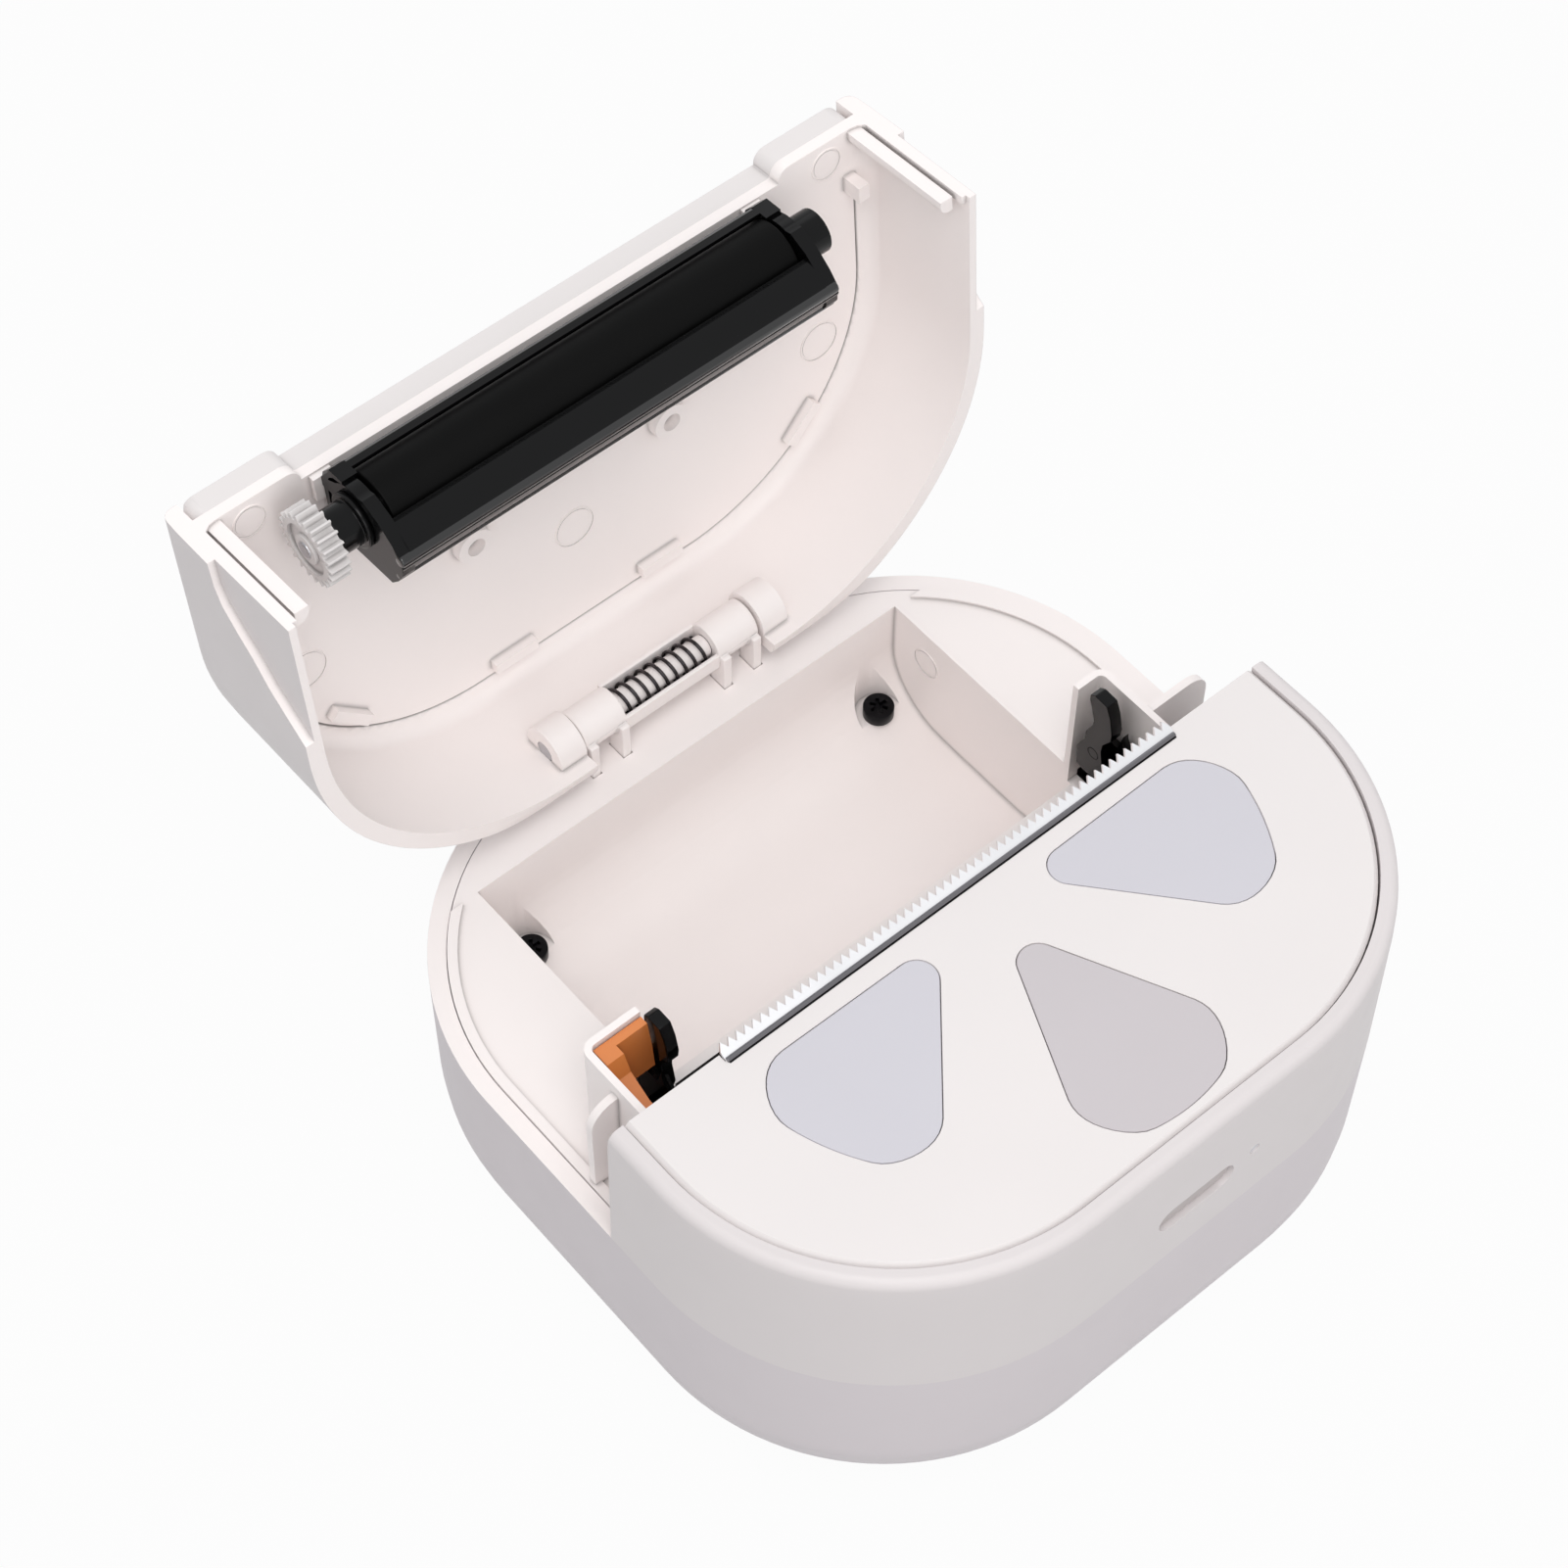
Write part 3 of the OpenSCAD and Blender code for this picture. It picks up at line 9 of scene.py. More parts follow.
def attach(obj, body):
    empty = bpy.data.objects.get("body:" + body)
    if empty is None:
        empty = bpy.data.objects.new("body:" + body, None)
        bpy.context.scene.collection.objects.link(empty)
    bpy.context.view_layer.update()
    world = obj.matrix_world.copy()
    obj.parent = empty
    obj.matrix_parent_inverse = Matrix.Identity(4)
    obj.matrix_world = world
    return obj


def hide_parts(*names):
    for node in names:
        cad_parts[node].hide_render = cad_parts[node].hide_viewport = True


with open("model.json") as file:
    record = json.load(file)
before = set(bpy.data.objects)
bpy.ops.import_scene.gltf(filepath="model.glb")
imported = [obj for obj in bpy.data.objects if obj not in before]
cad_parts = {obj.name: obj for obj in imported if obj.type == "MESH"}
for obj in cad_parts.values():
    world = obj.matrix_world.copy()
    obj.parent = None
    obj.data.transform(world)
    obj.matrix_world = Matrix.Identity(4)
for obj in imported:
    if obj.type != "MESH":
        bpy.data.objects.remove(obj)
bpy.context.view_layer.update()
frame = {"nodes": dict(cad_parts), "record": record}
nodes = frame["nodes"]
record = frame["record"]
body_of = {name: body for body, names in record["behaviour"]["bodies"].items() for name in names}
slot_of = {part["node"]: part["material_slot"] for part in record["subparts"]}


# ---------- measures, in millimetres with the lid closed: x right, y back, z up ----------

MM = 0.001
HALF_WIDE, HALF_LONG, CORNER = 44, 43.5, 30     # the printer's rounded outline
HINGE = Vector((1, 40.9, 31))                   # middle of the hinge's axis
LID_OPEN = math.radians(-94.5)
LID_ROOF = 42.3                                 # inner face of the lid's roof
LID_CROWN = 46                                  # above this lies only the lid's upper face
BASE_RIM = 25.8                                 # just under the base's rim
PLATE_TOP = 46.4
PLATEN = (-2.6, 36.1)                           # y and z of the roller's axis
BRACKET = (-28.5, 26.6)                         # x of the roller bracket's end plates
GEAR_FACE = -34.5                               # x of the roller gear's outer face
BARREL_GAP = 6.5                                # half of the gap between the hinge's barrels

# widths of the rounded edges, by node
EDGES = {
    "base_shell": 0.3, "tray": 0.18, "front_cover": 0.15, "top_plate": 0.12,
    "petal_left": 0.1, "petal_right": 0.1, "petal_front": 0.1, "hinge_bracket": 0.15,
    "lid_shell": 0.2, "lid_panel": 0.15, "platen_bracket": 0.15, "power_button": 0.2,
    "latch_left": 0.15, "latch_right": 0.15, "gearbox_cover": 0.15, "platen_gear": 0.06,
    "platen_bushings": 0.15, "platen_rubber": 0.2, "mech_frame": 0.1, "tray_screws": 0.08,
    "platen_shaft": 0.15, "hinge_pin": 0.15, "tear_blade": 0.05, "idler_gear": 0.05, "head_sink": 0.1,
}
EDGE_STEPS = 2                                  # flats that make up a rounded edge
SHARP = math.radians(30)                        # from this angle on an edge is rounded
FLAT = math.radians(0.6)                        # below this angle two faces count as one
SOFT = math.radians(40)                         # up to this angle shading runs on over an edge
MERGE = 0.002                                   # corners closer than this are one
SKIN = 0.03                                     # thickness of a coloured skin

# ejector marks on the lid's roof: x, y and width
ROOF_MARKS = [(-36.6, -3.2, 3.9), (36.6, -3.2, 3.9), (-34.4, 21.2, 5.2), (34.4, 21.2, 5.2), (0, 25.4, 5.2)]

# a petal's outline: radius of its tip, radius and half distance of its far corners, and its length
PETAL_TIP, PETAL_FAR, PETAL_HALF, PETAL_LONG = 2.21, 4.39, 4.39, 14.61
# for each petal its tip and angle before and after the turn, and how far its outer edge swells
PETALS = {
    "petal_left": ((-10.21, -12.91, 208.5), (-9.7, -12.5, 204.4), 1.5),
    "petal_right": ((10.21, -12.91, -28.5), (10.7, -12.3, -24.1), 1.5),
    "petal_front": ((0.81, -18.89, -90), (0.7, -18.75, -88.9), 2.0),
}

ALONG_X = (0, math.pi / 2, 0)


def lid_turn(angle, axis):
    """A turn about the hinge, whose axis runs along X through a point."""
    return Matrix.Translation(axis) @ Matrix.Rotation(angle, 4, "X") @ Matrix.Translation(-axis)


TO_OPEN = lid_turn(LID_OPEN, HINGE * MM)        # for places in metres
TO_CLOSED = lid_turn(-LID_OPEN, HINGE)          # for places in millimetres


# ---------- camera ----------

CAMERA_PLACE = (-0.139114, -0.142263, 0.348536)
CAMERA_AROUND = math.radians(-40.81)
CAMERA_ABOVE = math.radians(55.76)
CAMERA_ROLL = math.radians(0.59)
SENSOR, LENS = 36.0, 83.19


def place_camera():
    camera_data = bpy.data.cameras.new("view")
    camera_data.sensor_width = SENSOR
    camera_data.lens = LENS
    camera_data.clip_start = 0.01
    camera = bpy.data.objects.new("view", camera_data)
    bpy.context.scene.collection.objects.link(camera)
    side = Vector((math.cos(CAMERA_AROUND), math.sin(CAMERA_AROUND), 0))
    back = Vector((math.sin(CAMERA_AROUND), -math.cos(CAMERA_AROUND), 0))
    away = back * math.cos(CAMERA_ABOVE) + Vector((0, 0, math.sin(CAMERA_ABOVE)))
    top = away.cross(side)
    across = side * math.cos(CAMERA_ROLL) + top * math.sin(CAMERA_ROLL)
    upward = top * math.cos(CAMERA_ROLL) - side * math.sin(CAMERA_ROLL)
    turn = Matrix((across, upward, away)).transposed()
    camera.matrix_world = Matrix.Translation(CAMERA_PLACE) @ turn.to_4x4()
    bpy.context.scene.camera = camera


# ---------- materials ----------

FLOW, WAVE, GRIT = 45, 260, 5200                # scales of the noise in moulded plastic
DRAWN_LINES = (60, 2600, 2600)                  # stretch of the noise in drawn metal
SMUDGE = 140
CREASE_REACH, CREASE_SHADE = 0.7, 0.5           # width in millimetres and tone of the shade painted into creases
SHINE = 0.45                                    # specular level of plain plastic


class Wire:
    """An output that takes part in sums: an expression on it adds its Math nodes."""

    def __init__(self, finish, socket):
        self.finish = finish
        self.socket = socket

    def _sum(self, operation, first, second):
        return self.finish.node("ShaderNodeMath", {"operation": operation}, {0: first, 1: second})

    def __add__(self, other):
        return self._sum("ADD", self, other)

    def __radd__(self, other):
        return self._sum("ADD", other, self)

    def __sub__(self, other):
        return self._sum("SUBTRACT", self, other)

    def __mul__(self, other):
        return self._sum("MULTIPLY", self, other)

    def __rmul__(self, other):
        return self._sum("MULTIPLY", other, self)


class Finish:
    """A material with one shader, built from procedural nodes."""

    def __init__(self, name):
        self.material = bpy.data.materials.new(name)
        self.material.use_nodes = True
        self.tree = self.material.node_tree
        self.tree.nodes.clear()

    def node(self, kind, settings=None, sockets=None, out=0):
        new = self.tree.nodes.new(kind)
        for key, value in (settings or {}).items():
            setattr(new, key, value)
        for key, value in (sockets or {}).items():
            if isinstance(value, Wire):
                self.tree.links.new(value.socket, new.inputs[key])
            else:
                new.inputs[key].default_value = value
        return Wire(self, new.outputs[out])

    def here(self):
        """The place on the piece, in its own coordinates."""
        return self.node("ShaderNodeTexCoord", out=3)

    def noise(self, scale, detail, rough=0.5, at=None):
        return self.node("ShaderNodeTexNoise", {"noise_dimensions": "3D"},
            {"Vector": at or self.here(), "Scale": scale, "Detail": detail, "Roughness": rough})

    def blend(self, amount, first, second):
        """Two colours mixed: 0 gives the first, 1 the second."""
        return self.node("ShaderNodeMix", {"data_type": "RGBA", "clamp_factor": True},
            {0: amount, 6: first, 7: second}, out=2)

    def painted_shade_factor(self, reach):
        """1 on open faces, less in creases and slots within a reach in millimetres: where shade is painted
        into the colour.
        """
        occlusion = self.node("ShaderNodeAmbientOcclusion", {"samples": 8, "only_local": True},
            {"Distance": reach * MM}, out=1)
        return occlusion * 1.9 - 0.75

    def bump(self, height, strength, distance):
        return self.node("ShaderNodeBump", None,
            {"Strength": strength, "Distance": distance, "Height": height})

    def light_ray(self, *kinds):
        """1 for rays of the named kinds, 0 for others."""
        rays = self.tree.nodes.new("ShaderNodeLightPath")
        total = Wire(self, rays.outputs[kinds[0]])
        for kind in kinds[1:]:
            total = total + Wire(self, rays.outputs[kind])
        return total

    def close(self, shader):
        """Send a shader to the material's surface."""
        end = self.tree.nodes.new("ShaderNodeOutputMaterial")
        self.tree.links.new(shader.socket, end.inputs["Surface"])
        return self.material

    def surface(self, **sockets):
        """A Principled shader with the named sockets set; an underscore stands for a space."""
        named = {key.replace("_", " "): value for key, value in sockets.items()}
        return self.close(self.node("ShaderNodeBsdfPrincipled", None, named))


def tone(red, green, blue):
    """A colour written 0 to 255 as it should look, for a shader's socket."""
    out = []
    for part in (red, green, blue):
        part /= 255
        out.append(part / 12.92 if part <= 0.04045 else ((part + 0.055) / 1.055) ** 2.4)
    return (*out, 1.0)


def shade(colour, amount):
    return (colour[0] * amount, colour[1] * amount, colour[2] * amount, 1.0)


def moulded(name, colour, rough, grain=0.12, coat=0.0, shine=SHINE):
    """Injection-moulded plastic: flow clouds, shade painted into its creases, a satin sheen that varies and a
    fine grain.
    """
    f = Finish(name)
    cloud = f.noise(FLOW, 3, 0.55)
    grit = f.noise(GRIT, 2, 0.6)
    wave = f.noise(WAVE, 2)
    skin = f.blend(cloud, shade(colour, 0.975), shade(colour, 1.02))
    # painted shade: the colour darkens towards CREASE_SHADE in creases, slots and inner corners, where
    # ambient occlusion finds little open air
    base = f.blend(f.painted_shade_factor(CREASE_REACH), shade(colour, CREASE_SHADE), skin)
    height = grit * grain + wave * 0.5
    return f.surface(Base_Color=base, Roughness=rough - 0.05 + 0.1 * wave, Specular_IOR_Level=shine,
        Coat_Weight=coat, Coat_Roughness=0.12, Normal=f.bump(height, 0.22, 0.04 * MM))


def metal(name, colour, rough):
    """Bare metal with faint drawn lines along X and soft smudges."""
    f = Finish(name)
    stretched = f.node("ShaderNodeMapping", None, {"Vector": f.here(), "Scale": DRAWN_LINES})
    lines = f.noise(1, 2, at=stretched)
    smudge = f.noise(SMUDGE, 2)
    base = f.blend(smudge, shade(colour, 0.94), shade(colour, 1.03))
    return f.surface(Base_Color=base, Metallic=1.0, Roughness=rough - 0.06 + 0.12 * smudge,
        Normal=f.bump(lines, 0.18, 0.03 * MM))


# name, colour, roughness and other settings of each plastic
PLASTICS = [
    ("base_white", (214, 207, 210), 0.46, {}),
    ("cover_white", (219, 213, 213), 0.42, {}),
    ("tray_white", (250, 243, 241), 0.44, {}),
    ("plate_white", (229, 224, 223), 0.5, {"grain": 0.2}),
    ("petal_blue_grey", (204, 202, 209), 0.5, {"grain": 0.3}),
    ("petal_warm_grey", (198, 192, 195), 0.5, {"grain": 0.3}),
    ("black_plastic", (8, 8, 9), 0.14, {"grain": 0.04, "shine": 0.22}),
    ("black_gloss", (9, 9, 10), 0.1, {"grain": 0.03, "coat": 0.6, "shine": 0.6}),
    ("amber_plastic", (222, 134, 72), 0.24, {"grain": 0.05, "coat": 0.4}),
    # painted shade: the button's grey is darker than the skirt round it, to stand for the shade of a recess
    # that the modelled button lacks
    ("button_grey", (190, 182, 181), 0.45, {}),
    ("gear_white", (216, 212, 211), 0.38, {"grain": 0.05}),
    ("roller_rubber", (5, 5, 5), 0.55, {"grain": 0.4, "shine": 0.1}),
    ("pad_rubber", (52, 51, 52), 0.8, {"grain": 0.5}),
    ("board_green", (26, 92, 58), 0.35, {"grain": 0.05}),
    ("battery_foil", (90, 118, 150), 0.3, {"grain": 0.05}),
    ("pipe_clear", (214, 212, 216), 0.2, {"grain": 0.02}),
    ("head_ceramic", (230, 224, 204), 0.3, {"grain": 0.05}),
]
METALS = [
    ("blade_steel", (250, 250, 252), 0.42),
    ("pin_steel", (186, 186, 190), 0.26),
    ("spring_steel", (70, 66, 68), 0.3),
    # painted reflection: the fold's steel is much darker than the blade's, for the dark it reflects
    ("fold_steel_dark_reflection", (128, 126, 130), 0.2),
    ("black_steel", (34, 34, 36), 0.38),
    ("head_aluminium", (172, 174, 178), 0.38),
]

finishes = {name: moulded(name, tone(*colour), rough, **more) for name, colour, rough, more in PLASTICS}
finishes.update({name: metal(name, tone(*colour), rough) for name, colour, rough in METALS})


# ---------- light and floor ----------

SKY_TINT, SKY_STRENGTH = (0.98, 0.99, 1.0, 1), 0.79
WHITE = (1, 1, 1, 1)
FLOOR_GLOW = 0.96                               # share of the seen floor that is plain white
# name, place, aim, size, watts and tint of each lamp
LAMPS = [
    ("key", (-0.13, -0.16, 0.54), (0, 0.02, 0.05), 0.34, 0.9, (1.0, 0.985, 0.975)),
    ("fill", (-0.2, -0.5, 0.3), (0, 0.02, 0.05), 0.42, 0.55, (1.0, 0.99, 0.985)),
    ("rim", (0.42, 0.3, 0.4), (0, 0, 0.05), 0.4, 0.2, (0.97, 0.98, 1.0)),
]


def place_lamp(name, place, aim, size, watts, tint):
    lamp_data = bpy.data.lights.new(name, "AREA")
    lamp_data.shape = "DISK"
    lamp_data.size = size
    lamp_data.energy = watts
    lamp_data.color = tint
    lamp = bpy.data.objects.new(name, lamp_data)
    bpy.context.scene.collection.objects.link(lamp)
    lamp.location = place
    lamp.rotation_euler = (Vector(aim) - Vector(place)).to_track_quat("-Z", "Y").to_euler()


def light_the_scene():
    """A soft sky that lights the printer, a white background for the camera, and three lamps."""
    world = bpy.data.worlds.new("studio")
    bpy.context.scene.world = world
    world.use_nodes = True
    tree = world.node_tree
    tree.nodes.clear()
    end = tree.nodes.new("ShaderNodeOutputWorld")
    sky = tree.nodes.new("ShaderNodeBackground")
    back = tree.nodes.new("ShaderNodeBackground")
    mix = tree.nodes.new("ShaderNodeMixShader")
    rays = tree.nodes.new("ShaderNodeLightPath")
    sky.inputs["Color"].default_value = SKY_TINT
    sky.inputs["Strength"].default_value = SKY_STRENGTH
    back.inputs["Color"].default_value = WHITE
    back.inputs["Strength"].default_value = 1.0
    tree.links.new(rays.outputs["Is Camera Ray"], mix.inputs[0])
    tree.links.new(sky.outputs[0], mix.inputs[1])
    tree.links.new(back.outputs[0], mix.inputs[2])
    tree.links.new(mix.outputs[0], end.inputs["Surface"])
    for lamp in LAMPS:
        place_lamp(*lamp)


def lay_floor():
    """A floor that looks as white as the background and keeps a part of the printer's shadow."""
    f = Finish("floor")
    seen = f.light_ray("Is Camera Ray", "Is Glossy Ray", "Is Transmission Ray")
    colour = f.blend(f.noise(30, 2), tone(170, 170, 171), tone(174, 174, 175))
    paint = f.node("ShaderNodeBsdfDiffuse", None, {"Color": colour})
    glow = f.node("ShaderNodeEmission", None, {"Color": WHITE, "Strength": 1.0})
    f.close(f.node("ShaderNodeMixShader", None, {0: seen * FLOOR_GLOW, 1: paint, 2: glow}))
    bpy.ops.mesh.primitive_circle_add(vertices=96, radius=4, fill_type="NGON", location=(0, 0, 0))
    floor = bpy.context.object
    floor.name = "floor"
    floor.data.materials.append(f.material)


# ---------- ways to make and change a piece ----------

def only(piece):
    """Select one piece and nothing else."""
    bpy.ops.object.select_all(action="DESELECT")
    bpy.context.view_layer.objects.active = piece
    piece.select_set(True)


def dress(piece, finish):
    piece.data.materials.clear()
    piece.data.materials.append(finishes[finish])


def even_shading(piece):
    """Smooth the rounded edges and leave the flat faces flat."""
    only(piece)
    bpy.ops.object.shade_smooth_by_angle(angle=SOFT)
    evener = piece.modifiers.new("evener", "WEIGHTED_NORMAL")
    evener.keep_sharp = True
    bpy.ops.object.modifier_apply(modifier="evener")


def rounded(node, width):
    """A moulded version of a node: the same shape with its sharp edges rounded."""
    piece = bpy.data.objects.new(node + "_moulded", nodes[node].data.copy())
    bpy.context.scene.collection.objects.link(piece)
    only(piece)
    bpy.ops.object.mode_set(mode="EDIT")
    bpy.ops.mesh.select_all(action="SELECT")
    bpy.ops.mesh.remove_doubles(threshold=MERGE * MM)
    bpy.ops.mesh.dissolve_limited(angle_limit=FLAT)
    bpy.ops.object.mode_set(mode="OBJECT")
    edge = piece.modifiers.new("edge", "BEVEL")
    edge.width = width * MM
    edge.segments = EDGE_STEPS
    edge.limit_method = "ANGLE"
    edge.angle_limit = SHARP
    edge.use_clamp_overlap = True
    edge.miter_outer = "MITER_ARC"
    bpy.ops.object.modifier_apply(modifier="edge")
    even_shading(piece)
    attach(piece, body_of[node])
    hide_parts(node)
    return piece


def new_piece(name, body, like):
    """Finish the active object as a piece of the printer that moves with a body."""
    piece = bpy.context.object
    piece.name = name
    bpy.ops.object.transform_apply(location=True, rotation=True, scale=True)
    bpy.ops.object.mode_set(mode="EDIT")
    bpy.ops.mesh.select_all(action="SELECT")
    bpy.ops.mesh.normals_make_consistent(inside=False)
    bpy.ops.object.mode_set(mode="OBJECT")
    even_shading(piece)
    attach(piece, body)
    dress(piece, like)
    return piece


def on_lid(x, y, z):
    """Where a point of the closed lid is with the lid open."""
    return HINGE + Matrix.Rotation(LID_OPEN, 3, "X") @ (Vector((x, y, z)) - HINGE)


def on_the_lid(piece):
    """Turn a piece, made for the closed lid, to its place on the open lid."""
    only(piece)
    piece.matrix_world = TO_OPEN @ piece.matrix_world


def box_piece(low, high):
    """A box between two corners in millimetres, as the active object."""
    bpy.ops.mesh.primitive_cube_add(size=1, location=[(a + b) / 2 * MM for a, b in zip(low, high)])
    piece = bpy.context.object
    piece.scale = [(b - a) * MM for a, b in zip(low, high)]
    bpy.ops.object.transform_apply(location=True, rotation=True, scale=True)
    return piece


def bar_piece(sides, radius, ends, middle):
    """A plain round bar along X in millimetres, as the active object."""
    bpy.ops.mesh.primitive_cylinder_add(vertices=sides, radius=radius * MM, depth=(ends[1] - ends[0]) * MM,
        location=((ends[0] + ends[1]) / 2 * MM, middle[0] * MM, middle[1] * MM), rotation=ALONG_X)
    piece = bpy.context.object
    bpy.ops.object.transform_apply(location=True, rotation=True, scale=True)
    return piece


def select_edges(piece, test):
    """Select the edges whose two ends, in millimetres, pass a test, and go into edit mode."""
    only(piece)
    bpy.ops.object.mode_set(mode="EDIT")
    bpy.ops.mesh.select_mode(type="EDGE")
    bpy.ops.mesh.select_all(action="DESELECT")
    bpy.ops.object.mode_set(mode="OBJECT")
    for edge in piece.data.edges:
        first, second = [piece.data.vertices[i].co / MM for i in edge.vertices]
        edge.select = test(first, second)
    bpy.ops.object.mode_set(mode="EDIT")


def bevel_edges(piece, test, width, segments):
    """Round the edges whose middle and direction pass a test."""
    select_edges(piece, lambda first, second: test((first + second) / 2, (second - first).normalized()))
    bpy.ops.mesh.bevel(offset=width * MM, offset_type="OFFSET", segments=segments, affect="EDGES")
    bpy.ops.object.mode_set(mode="OBJECT")


def cut_with(piece, cutter):
    """Cut a piece with another, which is used up."""
    only(piece)
    cut = piece.modifiers.new("cut", "BOOLEAN")
    cut.operation = "DIFFERENCE"
    cut.solver = "EXACT"
    cut.object = cutter
    bpy.ops.object.modifier_apply(modifier="cut")
    bpy.data.objects.remove(cutter, do_unlink=True)


def round_end(middle, way):
    """An edge round the end of a bar along X."""
    return abs(way.x) < 0.1


def rear_corner(middle, way):
    """An upright edge at the back of the lid."""
    return abs(way.z) > 0.9 and middle.y > 0


def rod_piece(name, body, ends, middle, radius, slot, turned=False, like=None):
    """A round bar along X with rounded ends."""
    piece = bar_piece(32, radius, ends, middle)
    bevel_edges(piece, round_end, radius * 0.3, 3)
    if turned:
        on_the_lid(piece)
    return new_piece(name, body, like or slot)


def wound_spring(name, body, start, radius, wire, length, turns):
    """Round wire wound along X: a circle swept by a screw, with both ends closed."""
    bpy.ops.mesh.primitive_circle_add(vertices=10, radius=wire / 2 * MM, location=(0, 0, 0))
    piece = bpy.context.object
    bpy.ops.object.mode_set(mode="EDIT")
    bpy.ops.transform.translate(value=(0, radius * MM, 0))
    bpy.ops.object.mode_set(mode="OBJECT")
    coil = piece.modifiers.new("coil", "SCREW")
    coil.axis = "X"
    coil.angle = turns * 2 * math.pi
    coil.screw_offset = length * MM
    coil.steps = int(turns * 28)
    coil.render_steps = coil.steps
    coil.use_merge_vertices = False
    bpy.ops.object.modifier_apply(modifier="coil")
    bpy.ops.object.mode_set(mode="EDIT")
    bpy.ops.mesh.select_all(action="SELECT")
    bpy.ops.mesh.fill_holes(sides=12)
    bpy.ops.object.mode_set(mode="OBJECT")
    piece.location = [part * MM for part in start]
    return new_piece(name, body, "spring_steel")


def ejector_mark(name, body, place, turn, width):
    """Round mark that an ejector pin leaves: a low disc with a shallow ring groove just inside its edge."""
    thick = 0.24
    bpy.ops.mesh.primitive_cylinder_add(vertices=40, radius=width / 2 * MM, depth=thick * MM,
        location=(0, 0, 0))
    piece = bpy.context.object
    bpy.ops.object.mode_set(mode="EDIT")
    bpy.ops.mesh.select_all(action="DESELECT")
    bpy.ops.object.mode_set(mode="OBJECT")
    for face in piece.data.polygons:
        face.select = face.normal.z > 0.9
    bpy.ops.object.mode_set(mode="EDIT")
    for thickness, depth in ((0.1, 0), (0.04, -0.22), (0.14, 0), (0.04, 0.16)):
        bpy.ops.mesh.inset(thickness=thickness * MM, depth=depth * MM)
    bpy.ops.object.mode_set(mode="OBJECT")
    piece.matrix_world = Matrix.Translation([part * MM for part in place]) @ turn
    return new_piece(name, body, "tray_white")


def skin_piece(name, node, test, finish):
    """A thin skin over the faces of a moulded node that pass a test of place and direction."""
    source = bpy.data.objects[node + "_moulded"]
    piece = bpy.data.objects.new(name, source.data.copy())
    bpy.context.scene.collection.objects.link(piece)
    only(piece)
    for face in piece.data.polygons:
        face.select = not test(face.center / MM, face.normal)
    for edge in piece.data.edges:
        edge.select = False
    bpy.ops.object.mode_set(mode="EDIT")
    bpy.ops.mesh.select_mode(type="FACE")
    bpy.ops.mesh.delete(type="FACE")
    bpy.ops.object.mode_set(mode="OBJECT")
    film = piece.modifiers.new("film", "SOLIDIFY")
    film.thickness = SKIN * MM
    film.offset = 1
    bpy.ops.object.modifier_apply(modifier="film")
    return new_piece(name, body_of[node], finish)


def from_edge(x, y):
    """How far inside the printer's rounded outline a point lies."""
    across = max(abs(x) - (HALF_WIDE - CORNER), 0)
    along = max(abs(y) - (HALF_LONG - CORNER), 0)
    return min(CORNER - math.hypot(across, along), HALF_WIDE - abs(x), HALF_LONG - abs(y))


# Upward faces of the base above its rim line; the lighter skin laid on them paints the light that falls from
# above.
def lit_rim_faces(place, way):
    return way.z > 0.95 and place.z > BASE_RIM


def outside_lid(place, way):
    closed = TO_CLOSED @ place
    facing = TO_CLOSED.to_3x3() @ way
    if closed.z > LID_CROWN:
        return facing.z > 0.2
    return from_edge(closed.x, closed.y) < 1.2 and facing.y > -0.7 and facing.z > -0.7


def swell_petal(piece, old, new, bulge):
    """Turn, move and swell what lies on a petal's outline; old and new give its tip's place and its angle."""
    inward = Matrix.Rotation(math.radians(-old[2]), 3, "Z")
    outward = Matrix.Rotation(math.radians(new[2]), 3, "Z")
    first, last = Vector((old[0], old[1], 0)), Vector((new[0], new[1], 0))
    far_half = PETAL_HALF + PETAL_FAR
    far_end = PETAL_LONG + PETAL_FAR

    def on_petal(place):
        wide = PETAL_TIP + (far_half - PETAL_TIP) * (place.x + PETAL_TIP) / (PETAL_LONG + PETAL_TIP)
        return (-PETAL_TIP - 0.4 < place.x < far_end + 0.4 and place.z > PLATE_TOP - 1
            and abs(place.y) < min(max(wide, PETAL_TIP), far_half) + 0.8)

    def outer_edge(start, end):
        a, b = inward @ (start - first), inward @ (end - first)
        return min(a.x, b.x) > far_end - 0.6 and on_petal(a) and on_petal(b) and abs(a.y - b.y) > PETAL_HALF

    select_edges(piece, outer_edge)
    bpy.ops.mesh.subdivide(number_cuts=15)
    bpy.ops.object.mode_set(mode="OBJECT")
    for vertex in piece.data.vertices:
        place = inward @ (vertex.co / MM - first)
        if on_petal(place):
            share = min(max((place.x - PETAL_LONG) / PETAL_FAR, 0), 1)
            place.x += bulge * share * (1 - (place.y / far_half) ** 2)
            vertex.co = (last + outward @ place) * MM
    even_shading(piece)


# ---------- details ----------

def dress_nodes():
    """Round the edges of the pieces that show, and give every piece its finish."""
    for node, width in EDGES.items():
        slot = slot_of.get(node, "tray_white")
        dress(rounded(node, width), slot)
    for node, thing in nodes.items():
        if node not in EDGES:
            dress(thing, slot_of.get(node, "tray_white"))


def make_torsion_spring():
    """Wire of the lid's spring, in place of the node's coarser coil."""
    half, radius, wire, turns = 5.9, 1.66, 0.42, 9
    start = (HINGE.x - half, HINGE.y, HINGE.z)
    wound_spring("torsion_wire", body_of["torsion_spring"], start, radius, wire, 2 * half, turns)
    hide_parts("torsion_spring")


